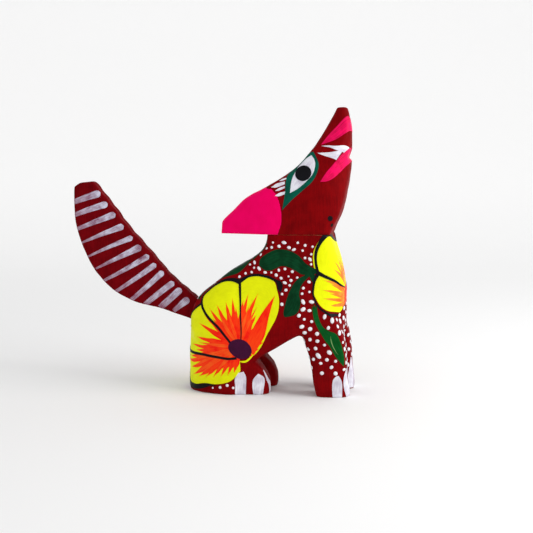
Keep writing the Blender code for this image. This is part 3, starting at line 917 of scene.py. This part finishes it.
@dataclass
class ChestFlower:
    """The flower across the breast, whose petals wrap round both shoulders.

    The shapes are drawn for the right side, and the left side has them narrower.
    """

    centre: Point = (-5.6, 0.6)
    eye: float = 2.5
    middle: float = -3.6
    narrowing: float = 0.61
    petals: tuple[Shape, ...] = (
        (((3.2, 1.4), (-1.0, 2.2), (-3.6, 3.0)),
         ((14.9, 8.9), (15.0, 10.9), (13.5, 13.6), (11.8, 15.1), (9.8, 15.6), (8.2, 15.6), (5.2, 15.4),
          (1.0, 15.2), (-3.6, 14.6))),
        (((3.2, 1.4), (4.1, -1.5), (4.6, -4.0), (5.4, -6.0), (6.6, -7.2)),
         ((14.9, 8.8), (17.4, 5.8), (18.4, 0.3), (16.6, -4.0), (14.2, -6.4), (11.4, -7.1), (6.6, -7.2))),
    )
    high_root: Point = (2.0, 2.2)
    high_tips: Line = ((1.4, 12.4), (3.8, 12.0), (6.0, 11.4), (8.2, 10.4), (9.2, 8.4))
    low_root: Point = (4.2, 0.6)
    low_tips: Line = ((14.0, 5.8), (11.6, 3.6), (15.0, 1.4), (12.0, -0.4), (14.6, -2.6), (11.4, -5.4))
    heart: Shape = (((-3.8, 2.4), (-3.3, 0.6), (-3.6, -1.2)), ((3.4, 1.6), (4.3, -1.5), (5.6, -5.6)))
    heart_flames: tuple[tuple[float, Line], ...] = (
        (2.2, ((0.4, 8.6), (-2.4, 9.4), (-5.6, 10.6), (-8.8, 9.4), (-11.6, 8.6))),
        (2.4, ((-1.6, -6.0), (-5.6, -7.0), (-9.6, -6.0))),
    )
    outlines: tuple[tuple[Line, Widths], ...] = (
        (((-3.6, 14.4), (1.0, 15.0), (5.2, 15.2), (8.2, 15.3), (9.7, 15.2), (11.4, 14.6), (12.9, 13.2),
          (14.2, 10.8), (14.6, 8.9)), (0.4, 0.5, 0.7, 0.75, 0.7, 0.9)),
        (((14.7, 8.9), (12.8, 6.8), (9.1, 4.1), (6.6, 2.4), (3.2, 1.2)), (1.4, 1.0, 0.8, 0.3)),
        (((14.6, 8.9), (17.3, 5.8), (18.6, 0.3), (17.2, -4.4), (14.9, -6.9), (12.0, -7.8), (7.4, -8.0)),
         (1.2, 0.8, 0.6, 0.6, 0.6)),
    )

    def paint(self, surface: Surface) -> list[bpy.types.Object]:
        """Paints the flower.

        Args:
            surface: the carved body.

        Returns:
            The painted pieces.
        """
        petals = Coat("chest_petals", surface, PETAL_YELLOW, lift_mm=0.05)
        flames = Coat("chest_flames", surface, FLAME_ORANGE, lift_mm=0.09)
        heart = Coat("chest_flames_heart", surface, FLAME_RED, lift_mm=0.1)
        lines = Coat("chest_outlines", surface, LINE_BLACK, lift_mm=0.18)
        eye = Coat("chest_eye", surface, DISC_PURPLE, lift_mm=0.22)
        petal_lifts = iter((0.0, 0.003, 0.006, 0.009))
        for mirror in (list, self.across):
            for inner, outer in self.petals:
                petals.fill(CHEST, mirror(inner), mirror(outer), 0.8, next(petal_lifts))
        high = [((self.high_root, tip), 1.35, 0.0) for tip in self.high_tips]
        low = [((self.low_root[0], self.low_root[1] - turn), tip) for turn, tip in enumerate(self.low_tips)]
        for kind in (high, [(ends, 1.3, 0.02) for ends in low]):
            far = [(self.across(ends), wide, lift) for ends, wide, lift in kind]
            for number, (ends, wide, lift) in enumerate(kind + far):
                self.flame(flames, *ends, wide, 0.0015 * number + lift)
        heart.fill(CHEST, *self.heart, 0.7)
        for wide, tips in self.heart_flames:
            for tip in tips:
                self.flame(heart, self.centre, tip, wide, 0.002)
        for mirror in (list, self.across):
            for number, (line, widths) in enumerate(self.outlines):
                lines.ribbon(CHEST, mirror(line), widths, lift=0.004 * number)
        eye.spot(CHEST, self.centre, (self.eye, self.eye))
        return [coat.dry() for coat in (petals, flames, heart, lines, eye)]

    def across(self, points: Line) -> list[Point]:
        """The same points on the flower's other side, where it is narrower."""
        return [(self.middle - self.narrowing * (u - self.middle), v) for u, v in points]

    def flame(self, coat: Coat, root: Point, tip: Point, wide: float, lift: float) -> None:
        """Lays one flame."""
        middle = (root[0] * 0.45 + tip[0] * 0.55, root[1] * 0.45 + tip[1] * 0.55)
        coat.ribbon(CHEST, [root, middle, tip], (wide * 0.9, wide, wide * 0.7, 0.02), lift=lift)


@dataclass
class Leaves:
    """The green leaves and stems on one side of the body. A leaf is its two edges, end to end."""

    shoulder: Shape = (
        ((15.6, 45.4), (16.4, 47.6), (19.1, 49.4), (23.4, 50.7), (27.9, 50.2), (31.8, 48.3), (35.1, 45.2),
         (38.6, 42.6)),
        ((15.6, 45.4), (17.6, 44.0), (20.6, 44.2), (25.0, 45.9), (28.6, 45.3), (31.7, 43.6), (34.4, 41.8),
         (38.6, 41.4)),
    )
    flank: Shape = (
        ((36.4, 42.2), (32.1, 39.6), (29.2, 34.2), (27.2, 28.6), (26.3, 25.2), (26.8, 24.0)),
        ((37.0, 41.2), (35.3, 39.2), (34.0, 36.6), (33.4, 33.4), (33.7, 30.2), (32.7, 26.8), (30.5, 24.8),
         (26.8, 24.0)),
    )
    stem: Line = ((36.4, 42.6), (37.6, 40.4), (38.2, 37.6))
    back: tuple[Shape, ...] = (
        (((4.5, 38.1), (8.1, 38.3), (11.1, 38.8), (13.8, 40.4)),
         ((4.5, 38.1), (6.0, 42.0), (10.5, 44.3), (13.8, 40.4))),
        (((-3.7, 31.2), (-2.8, 34.3), (-0.2, 36.6), (2.8, 38.4)),
         ((-3.7, 31.2), (-5.6, 35.0), (-3.0, 39.4), (2.8, 38.4))),
    )
    nape: Shape = (
        ((19.6, 52.2), (17.3, 50.7), (14.9, 49.1), (13.3, 46.6)),
        ((19.6, 52.2), (15.5, 54.0), (11.8, 51.2), (13.3, 46.6)),
    )
    foreleg: Shape = (
        ((-1.7, 11.2), (-2.6, 8.4), (-2.3, 6.8), (0.0, 3.6), (2.2, 0.3), (4.1, -2.2), (5.4, -5.6),
         (6.7, -7.5)),
        ((-0.9, 11.2), (-1.3, 8.8), (0.1, 7.0), (3.1, 5.4), (5.6, 4.2), (7.1, 2.3), (8.3, -1.8),
         (7.9, -5.6), (6.7, -7.5)),
    )
    vein: Line = ((4.2, 3.2), (4.9, 0.2), (5.6, -2.6), (6.4, -4.8))

    def paint(self, surface: Surface, hand: Hand) -> list[bpy.types.Object]:
        """Paints the leaves on one side.

        Args:
            surface: the carved body.
            hand: which side.

        Returns:
            The painted pieces.
        """
        flank = Coat(f"flank_leaves_{hand.tag}", surface, LEAF_GREEN, hand, 0.07)
        flank.fill(FLANK, *self.shoulder)
        flank.fill(FLANK, *self.flank, lift=0.003)
        flank.ribbon(FLANK, self.stem, (1.6, 1.4, 0.1), lift=0.006)
        for leaf in self.back:
            flank.fill(HAUNCH, *leaf)
        flank.fill(FLANK, *self.nape)
        leg = Coat(f"foreleg_leaf_{hand.tag}", surface, LEG_GREEN, hand, 0.07)
        leg.fill(FORELEG, *self.foreleg, 0.5)
        vein = Coat(f"foreleg_leaf_vein_{hand.tag}", surface, VEIN, hand, 0.12)
        vein.ribbon(FORELEG, self.vein, (0.06, 0.34, 0.3, 0.05))
        return [coat.dry() for coat in (flank, leg, vein)]


@dataclass
class Face:
    """The eye, lashes, lips and teeth on one side of the upturned head."""

    rim: Shape = (
        ((34.7, 80.5), (31.4, 80.4), (28.2, 77.6), (26.5, 74.2), (26.4, 70.5), (27.1, 66.6), (27.6, 63.7)),
        ((34.7, 80.5), (36.9, 76.1), (36.4, 72.3), (34.5, 69.1), (31.4, 66.6), (29.1, 65.0), (27.6, 63.7)),
    )
    white: Shape = (
        ((34.0, 79.2), (31.6, 77.8), (29.4, 75.0), (28.3, 72.0), (27.9, 69.4), (28.2, 66.5)),
        ((34.0, 79.2), (35.3, 77.2), (35.6, 75.0), (34.7, 71.8), (32.4, 69.2), (30.2, 67.4), (28.2, 66.5)),
    )
    pupil: Point = (31.35, 72.25)
    pupil_radius: float = 2.85
    lashes: tuple[tuple[Point, Point, float], ...] = (
        ((24.2, 68.6), (26.4, 69.3), 0.95), ((25.2, 67.7), (26.7, 68.2), 0.6),
        ((25.5, 66.7), (27.1, 66.8), 0.7), ((25.0, 69.9), (26.4, 70.5), 0.5),
    )
    lips: tuple[Shape, ...] = (
        (((37.3, 82.4), (39.1, 84.1), (41.0, 85.2), (43.2, 85.9), (45.2, 85.5)),
         ((37.3, 82.4), (40.0, 82.4), (41.6, 82.5), (43.4, 83.2), (45.6, 84.5))),
        (((37.3, 69.2), (39.5, 72.4), (41.6, 75.2), (43.1, 77.4), (44.5, 79.0), (47.4, 81.2)),
         ((37.3, 69.2), (39.5, 69.4), (41.8, 70.5), (44.2, 72.7), (46.5, 75.0), (50.4, 77.6))),
    )
    teeth: tuple[Shape, ...] = (
        (((37.5, 81.9), (39.7, 81.5), (42.2, 80.6), (45.9, 80.3)),
         ((37.5, 81.9), (40.0, 80.9), (42.0, 79.5), (44.2, 78.6))),
        (((36.3, 79.8), (38.5, 79.6), (40.9, 79.2), (43.8, 79.3)),
         ((36.3, 79.8), (38.2, 78.8), (40.4, 77.6), (42.3, 76.5))),
    )
    throat_dots: tuple[tuple[Point, Point], ...] = (
        ((38.65, 61.4), (0.62, 0.36)), ((38.75, 60.45), (0.36, 0.24)),
    )

    def paint(self, surface: Surface, hand: Hand) -> list[bpy.types.Object]:
        """Paints the face on one side.

        Args:
            surface: the carved head.
            hand: which side.

        Returns:
            The painted pieces.
        """
        rim = Coat(f"eye_rim_{hand.tag}", surface, EYE_GREEN, hand, 0.06)
        rim.fill(FACE, *self.rim, 0.6)
        white = Coat(f"eye_white_{hand.tag}", surface, CHALK_WHITE, hand, 0.1)
        white.fill(FACE, *self.white, 0.5)
        pupil = Coat(f"eye_pupil_{hand.tag}", surface, LINE_BLACK, hand, 0.16)
        pupil.spot(FACE, self.pupil, (self.pupil_radius, self.pupil_radius), turn=-0.6)
        lashes = Coat(f"eye_lashes_{hand.tag}", surface, CHALK_WHITE, hand, 0.06)
        for start, end, wide in self.lashes:
            middle = ((start[0] + end[0]) / 2, (start[1] + end[1]) / 2)
            lashes.ribbon(FACE, [start, middle, end], (0.12, wide, wide, wide * 0.8), 0.25)
        lips = Coat(f"lips_{hand.tag}", surface, LIP_PINK, hand, 0.07)
        for lip in self.lips:
            lips.fill(FACE, *lip, 0.5)
        teeth = Coat(f"teeth_{hand.tag}", surface, CHALK_WHITE, hand, 0.1)
        for number, tooth in enumerate(self.teeth):
            teeth.fill(FACE, *tooth, 0.4, 0.003 * number)
        throat = Coat(f"throat_dots_{hand.tag}", surface, LINE_BLACK, hand, 0.08)
        for centre, radii in self.throat_dots:
            throat.spot(FACE, centre, radii)
        return [coat.dry() for coat in (rim, white, pupil, lashes, lips, teeth, throat)]


@dataclass
class Claws:
    """White toes painted on the four feet. A toe is its two edges, from the top to the sole."""

    hind: tuple[Shape, ...] = (
        (((-0.9, 1.3), (-1.9, -0.4), (-1.9, -2.2), (-1.7, -4.9)),
         ((0.5, 1.7), (1.3, -0.1), (1.2, -2.7), (0.9, -5.0))),
        (((4.7, 0.9), (3.6, -0.7), (3.1, -2.6), (2.9, -4.9)),
         ((4.9, 0.9), (6.1, -0.3), (6.0, -2.1), (4.7, -4.9))),
        (((6.2, 1.9), (6.7, -1.1), (7.1, -2.9), (6.5, -5.0)),
         ((6.5, 1.9), (7.3, -0.4), (8.0, -2.3), (7.8, -5.0))),
    )
    fore: tuple[Shape, ...] = (
        (((1.8, 2.7), (0.7, 1.5), (0.4, -1.0), (0.5, -4.6)),
         ((2.4, 2.7), (3.5, 1.1), (3.7, -1.2), (2.9, -4.6))),
        (((4.3, 4.6), (4.1, 2.3), (4.2, -1.0), (4.4, -4.6)),
         ((4.6, 4.6), (5.7, 2.0), (6.6, -1.0), (7.2, -4.6))),
    )
    front: tuple[Shape, ...] = (
        (((3.6, 10.8), (3.1, 7.5), (2.9, 4.0), (2.9, 0.5)),
         ((4.0, 10.8), (4.7, 7.5), (4.9, 4.0), (4.7, 0.5))),
        (((6.0, 9.6), (5.6, 7.0), (5.6, 4.0), (5.7, 0.5)),
         ((6.3, 9.6), (7.0, 7.0), (7.2, 4.0), (7.1, 0.5))),
    )

    def paint(self, surface: Surface, hand: Hand) -> list[bpy.types.Object]:
        """Paints the toes of the feet on one side.

        Args:
            surface: the carved body.
            hand: which side.

        Returns:
            The painted piece.
        """
        coat = Coat(f"claws_{hand.tag}", surface, CHALK_WHITE, hand, 0.07)
        for canvas, toes in ((HIND_FOOT, self.hind), (FORE_FOOT, self.fore), (FORE_FRONT, self.front)):
            for toe in toes:
                coat.fill(canvas, *toe, 0.4)
        return [coat.dry()]


@dataclass
class TailStripes:
    """Twelve dry-brushed stripes on each flat face of the tail, round at the top edge and thin below.

    A stripe is its root, its tip, and its width at either end.
    """

    stripes: tuple[tuple[Point, Point, float, float], ...] = (
        ((-38.0, 65.4), (-47.2, 62.4), 2.6, 1.7), ((-35.5, 61.8), (-47.2, 58.0), 2.4, 1.5),
        ((-32.8, 58.4), (-46.4, 53.2), 2.4, 1.2), ((-30.0, 54.4), (-45.2, 48.4), 2.4, 0.6),
        ((-26.9, 50.6), (-42.9, 43.8), 2.0, 0.6), ((-24.0, 47.5), (-40.0, 39.8), 2.6, 0.6),
        ((-21.3, 44.5), (-37.5, 35.6), 2.1, 0.9), ((-18.9, 41.7), (-33.2, 32.0), 2.0, 1.1),
        ((-16.4, 39.2), (-28.0, 29.1), 2.1, 1.3), ((-12.8, 35.7), (-23.0, 27.8), 2.1, 1.7),
        ((-10.3, 33.5), (-17.7, 26.9), 2.4, 2.1), ((-7.7, 30.2), (-13.0, 25.9), 2.8, 1.4),
    )
    rows: int = 30

    def paint(self, surface: Surface, hand: Hand) -> list[bpy.types.Object]:
        """Paints the stripes on one face of the tail.

        Args:
            surface: the carved tail.
            hand: which face.

        Returns:
            The painted piece.
        """
        rng = random.Random(5 + hand.value)
        coat = Coat(f"tail_stripes_{hand.tag}", surface, TAIL_WHITE, hand, 0.06)
        for root, tip, wide, thin in self.stripes:
            way = Vector((tip[0] - root[0], tip[1] - root[1]))
            side = Vector((-way.y, way.x)).normalized() * rng.uniform(-0.2, 0.2)
            middle = Vector(root) + way * 0.5 + side
            self.stripe(coat, [root, tuple(middle), tip], wide, thin)
        return [coat.dry()]

    def stripe(self, coat: Coat, line: Line, wide: float, thin: float) -> None:
        """Lays one stripe with a rounded root.

        Args:
            coat: the white coat.
            line: points of the stripe's middle.
            wide: its width at the root.
            thin: its width at the tip.
        """
        round_end = min(0.5, 0.55 * wide / math.dist(line[0], line[-1]))
        halves = []
        for row in range(self.rows + 1):
            share = row / self.rows
            half = (wide + (thin - wide) * share ** 0.85) / 2
            halves.append(half * (math.sqrt(1 - (1 - min(1.0, share / round_end)) ** 2) * 0.85 + 0.15))
        coat.fill(TAIL_FACE, *edges_of(smooth_line(line, self.rows), halves), 0.5)


@dataclass
class Dots:
    """White dots pressed on with the end of a brush, wherever flowers and leaves leave room.

    The first tries press dots along the edges of the flowers and leaves, and the rest fill what is left.
    """

    spacing: float = 1.95
    radius: float = 0.5
    seed: int = 21
    tries: int = 60000
    edge_tries: int = 24000
    edge_gap: float = 0.18
    edge_reach: float = 0.5
    legs_below: float = 33
    feet_below: float = 5
    cell: float = 2.5
    height: float = 0.3
    tail_seat: Place = (-5.1, 0, 26.2)
    tail_clear: float = 6.6
    collar: float = 50.2

    def paint(self, surface: Surface, painted: list[bpy.types.Object]) -> bpy.types.Object:
        """Presses the dots on the body.

        Args:
            surface: the carved body.
            painted: pieces that the dots keep clear of.

        Returns:
            The dots as one piece.
        """
        corners, sides = [], []
        for piece in painted:
            base = len(corners)
            corners.extend(v.co for v in piece.data.vertices)
            sides.extend([base + index for index in face.vertices] for face in piece.data.polygons)
        shapes = BVHTree.FromPolygons(corners, sides)
        rng = random.Random(self.seed)
        faces = list(surface.skin.data.polygons)
        areas = [face.area for face in faces]
        placed: list[tuple[Vector, Vector, float]] = []
        cells: dict[tuple[int, int, int], list[Vector]] = {}
        for turn, face in enumerate(rng.choices(faces, areas, k=self.tries)):
            place, normal = face.center / MM, face.normal.copy()
            if not self.allowed(place, normal):
                continue
            low = place.z < self.legs_below
            # Dots on the legs are bigger and further apart than on the back, and small again on the feet.
            size = 1.25 if low and place.z > self.feet_below else 0.9
            radius = self.radius * rng.uniform(0.74, 1.2) * size
            away = shapes.find_nearest(face.center, 2 * MM)[3]
            away = away / MM if away is not None else 2.0
            too_far = turn < self.edge_tries and away > radius + self.edge_reach
            if away < radius + self.edge_gap or too_far:
                continue
            gap = self.spacing * rng.uniform(0.86, 1.12) * (1.16 if low else 0.88)
            key = tuple(math.floor(c / self.cell) for c in place)
            close = (
                other for dx in (-1, 0, 1) for dy in (-1, 0, 1) for dz in (-1, 0, 1)
                for other in cells.get((key[0] + dx, key[1] + dy, key[2] + dz), [])
            )
            if any((other - place).length < gap for other in close):
                continue
            cells.setdefault(key, []).append(place)
            placed.append((face.center.copy(), normal, radius))
        return self.press(surface, placed, rng)

    def allowed(self, place: Vector, normal: Vector) -> bool:
        """Whether the painter dots this part of the body.

        Args:
            place: a point of the skin.
            normal: the skin's normal there.

        Returns:
            True where dots belong.
        """
        x, _, z = place
        if normal.z < -0.55 or (place - Vector(self.tail_seat)).length < self.tail_clear:
            return False
        if x < 10:
            # The rump has dots in a band under the flower and above it.
            return 0.9 < z < 4.4 or z > 35 or (z > 31 and normal.z > 0.3)
        # The forelegs are dotted from the feet up, the flank and the back only near the top.
        return 7.6 < z < self.collar and (x > 30.6 or z > 35.5 or (x > 20 and z > 27.5))

    def press(self, surface: Surface, placed: list[tuple[Vector, Vector, float]],
              rng: random.Random) -> bpy.types.Object:
        """Copies one low dome to every place and joins the copies.

        Args:
            surface: the carved body.
            placed: each dot's place in metres, the way that it faces, and its radius.
            rng: the source of the dots' lengths and turns.

        Returns:
            The dots as one piece.
        """
        bpy.ops.object.select_all(action="DESELECT")
        bpy.ops.mesh.primitive_uv_sphere_add(segments=9, ring_count=4, radius=1)
        dome = bpy.context.object
        dome.data.materials.append(DOT_WHITE.make())
        copies = []
        for spot, normal, radius in placed:
            long = rng.choice((1.0, 1.05, 1.15, 1.3, 1.6))
            size = Vector((radius * long, radius, radius * self.height)) * MM
            turn = normal.to_track_quat("Z", "Y") @ Quaternion((0, 0, 1), rng.uniform(0, 2 * math.pi))
            dot = bpy.data.objects.new("dot", dome.data.copy())
            dot.data.transform(Matrix.LocRotScale(spot, turn, size))
            bpy.context.scene.collection.objects.link(dot)
            copies.append(dot)
        bpy.data.objects.remove(dome)
        dots = joined(copies, "white_dots")
        only(dots)
        bpy.ops.object.shade_smooth()
        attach(dots, surface.body)
        LOG.info("white_dots: %d dots", len(placed))
        return dots


@dataclass
class EarPaint:
    """The pink on both ears, as a zone of the head's own skin. The edge runs up the front of the pink."""

    edge: Line = (
        (23.4, 52.4), (24.1, 54.4), (24.7, 56.4), (24.7, 59.2), (24.2, 62.1), (23.2, 64.9), (21.9, 66.3),
        (20.2, 67.0), (16.0, 67.6),
    )
    soft_mm: float = 0.05
    clouds_per_mm: float = 0.3

    def lay(self, head: bpy.types.Object) -> None:
        """Writes how far inside the pink each point lies, and mixes the pink into the head's paint.

        Args:
            head: the carved head, whose first material is its red paint.
        """
        inside = head.data.attributes.new("ear", "FLOAT", "POINT")
        line = smooth_line(self.edge, 60)
        for vertex in head.data.vertices:
            place = vertex.co / MM
            gap = min(math.dist((place.x, place.z), spot) for spot in line)
            inside.data[vertex.index].value = gap if place.x < self.reach(line, place.z) else -gap
        mixed = head.data.materials[0].copy()
        mixed.name = "cochineal_red_and_pink_acrylic"
        tree = mixed.node_tree
        shader = tree.nodes["Principled BSDF"]
        red = shader.inputs["Base Color"].links[0].from_socket
        where = add_node(tree, "ShaderNodeAttribute", attribute_name="ear")
        sharp = add_node(tree, "ShaderNodeMapRange", {
            "Value": where.outputs["Fac"], "From Min": -self.soft_mm, "From Max": self.soft_mm,
        })
        place = add_node(tree, "ShaderNodeTexCoord")
        clouds = add_node(tree, "ShaderNodeTexNoise", {
            "Vector": place.outputs["Object"], "Scale": self.clouds_per_mm / MM,
        })
        pink = add_node(tree, "ShaderNodeMix", {
            0: clouds.outputs["Fac"], 6: linear(EAR_PINK.coat), 7: linear(EAR_PINK.thin),
        }, data_type="RGBA")
        both = add_node(tree, "ShaderNodeMix", {0: sharp.outputs["Result"], 6: red, 7: pink.outputs[2]},
                        data_type="RGBA")
        tree.links.new(both.outputs[2], shader.inputs["Base Color"])
        head.data.materials[0] = mixed

    def reach(self, line: Line, height: float) -> float:
        """How far forward the pink goes at a height.

        Args:
            line: the edge, in steps of less than a millimetre.
            height: the height over the floor.

        Returns:
            The furthest forward that the pink reaches, or a place behind the figure above the pink.
        """
        if height > line[-1][1]:
            return -99.0
        return max((x for x, z in line if abs(z - height) < 0.45), default=line[0][0])


# ---------------------------------------------------------------- studio


@dataclass
class Studio:
    """A pale seamless sweep, a soft key light from the front right and a camera at the figure's height."""

    eye: Place = (68.11, -314.5, 73.0)
    target: Place = (18.3, 0.0, 41.2)
    lens_mm: float = 65.0
    key_place: Place = (350, -70, 230)
    key_target: Place = (25, 0, 40)
    key_size_mm: float = 240
    key_power_w: float = 0.95
    room_light: float = 0.76
    half_sheet_m: Point = (2.2, 1.4)
    bend_start_m: float = 0.45
    bend_radius_m: float = 0.35

    def build(self) -> None:
        """Builds the floor, the light, the camera and the even light of the room."""
        self.sweep()
        key = bpy.data.lights.new("key", "AREA")
        key.shape = "SQUARE"
        key.size = self.key_size_mm * MM
        key.energy = self.key_power_w
        self.aim(key, self.key_place, self.key_target)
        lens = bpy.data.cameras.new("camera")
        lens.lens = self.lens_mm
        lens.sensor_width = 36.0
        lens.clip_start, lens.clip_end = 0.01, 20.0
        scene = bpy.context.scene
        scene.camera = self.aim(lens, self.eye, self.target)
        scene.world = bpy.data.worlds.new("studio")
        scene.world.use_nodes = True
        room = scene.world.node_tree.nodes["Background"]
        room.inputs["Color"].default_value = linear("#FFFFFF")
        room.inputs["Strength"].default_value = self.room_light
        scene.view_settings.view_transform = "Standard"

    def sweep(self) -> None:
        """Lays the paper flat under the figure and bends it up behind."""
        bpy.ops.object.select_all(action="DESELECT")
        bpy.ops.mesh.primitive_plane_add(size=2)
        paper = bpy.context.object
        paper.name = paper.data.name = "paper_sweep"
        paper.data.transform(Matrix.Diagonal((*self.half_sheet_m, 1, 1)))
        in_edit_mode(paper, lambda: bpy.ops.mesh.subdivide(number_cuts=40))
        for vertex in paper.data.vertices:
            behind = max(0.0, vertex.co.y - self.bend_start_m)
            turn = min(behind / self.bend_radius_m, math.pi / 2)
            rest = max(0.0, behind - self.bend_radius_m * math.pi / 2)
            if behind:
                vertex.co.y = self.bend_start_m + self.bend_radius_m * math.sin(turn)
                vertex.co.z = self.bend_radius_m * (1 - math.cos(turn)) + rest
        paper.data.materials.append(PAPER.make())
        only(paper)
        bpy.ops.object.shade_smooth()

    def aim(self, data: bpy.types.ID, place: Place, target: Place) -> bpy.types.Object:
        """Sets up a light or a camera that faces a point.

        Args:
            data: the light or the camera.
            place: where it stands.
            target: the point that it faces.

        Returns:
            Its object.
        """
        made = bpy.data.objects.new(data.name, data)
        bpy.context.scene.collection.objects.link(made)
        made.location = Vector(place) * MM
        made.rotation_euler = (Vector(target) - Vector(place)).to_track_quat("-Z", "Y").to_euler()
        return made


# ---------------------------------------------------------------- the figure


@dataclass
class Coyote:
    """The whole figure. The tail's seat on the rump is a point and the way that its bore runs out."""

    seat: Vector = field(default_factory=lambda: Vector((-5.091, 0, 26.2)))
    axis: Vector = field(default_factory=lambda: Vector((-0.9455186, 0, 0.3255682)))
    sole: float = 0.12
    neck_edge: float = 52.42
    jaw_edge: float = 52.9

    def build(self, frame: dict) -> None:
        """Carves and paints the figure over its blanks.

        Args:
            frame: what the frame's loading returned.
        """
        nodes = frame["nodes"]
        neck = Vector((0, 0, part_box("body")[1].z / MM))
        jaw = Vector((0, 0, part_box("head")[0].z / MM))
        tail_seat = (self.seat, self.axis)
        carvings = (
            Carving("carved_body", "body", "figure", "body_paint", (BODY_RED, COPAL),
                    ((neck, UP), tail_seat), self.body_bare),
            Carving("carved_head", "head", "figure", "head_paint", (BODY_RED, COPAL),
                    ((jaw, UP),), self.head_bare, lower_seat_mm=0.27),
            Carving("carved_tail", "tail", "tail", "tail_paint", (TAIL_RED, COPAL),
                    (tail_seat,), self.tail_bare, grain_mm=0.35),
        )
        body, head, tail = (Surface(c.carve(nodes[c.node]), c.body, c.slot) for c in carvings)
        EarPaint().lay(head.skin)
        painted = []
        for hand in Hand:
            painted += HaunchFlower().paint(body, hand)
            painted += Leaves().paint(body, hand)
            painted += Claws().paint(body, hand)
            Face().paint(head, hand)
            TailStripes().paint(tail, hand)
        painted += ChestFlower().paint(body)
        Dots().paint(body, painted)
        for name in ("neck_dowel", "tail_dowel"):
            nodes[name].data.materials.clear()
            nodes[name].data.materials.append(COPAL.make())
            LOG.info("%s: turned from copal", name)

    def body_bare(self, place: Vector, normal: Vector) -> bool:
        """Whether a point of the body is bare: its soles, its neck seat and the tail's seat and socket.

        Args:
            place: the point.
            normal: the skin's normal there.

        Returns:
            True for bare wood.
        """
        from_seat = place - self.seat
        depth = from_seat.dot(self.axis)
        return (
            (place.z < self.sole and normal.z < -0.8)
            or (place.z > self.neck_edge and normal.z > 0.97)
            or (abs(depth) < 0.25 and abs(place.y) < 2.1 and from_seat.length < 4.2)
            or (from_seat - self.axis * depth).length < 2.2
        )

    def head_bare(self, place: Vector, normal: Vector) -> bool:
        """Whether a point of the head is bare: its seat on the neck."""
        return place.z < self.jaw_edge and normal.z < -0.97

    def tail_bare(self, place: Vector, normal: Vector) -> bool:
        """Whether a point of the tail is bare: its root's face and bore.

        Args:
            place: the point.
            normal: the skin's normal there.

        Returns:
            True for bare wood.
        """
        from_seat = place - self.seat
        depth = from_seat.dot(self.axis)
        root_face = depth < 0.5 and normal.dot(self.axis) < -0.9
        return root_face or (depth < 7 and (from_seat - self.axis * depth).length < 2.0)


def main() -> None:
    """Builds the figure and its studio."""
    logging.basicConfig(level=logging.INFO, format="%(message)s")
    for obj in list(bpy.data.objects):
        bpy.data.objects.remove(obj)
    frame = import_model()
    Coyote().build(frame)
    Studio().build()


if __name__ == "__main__":
    main()
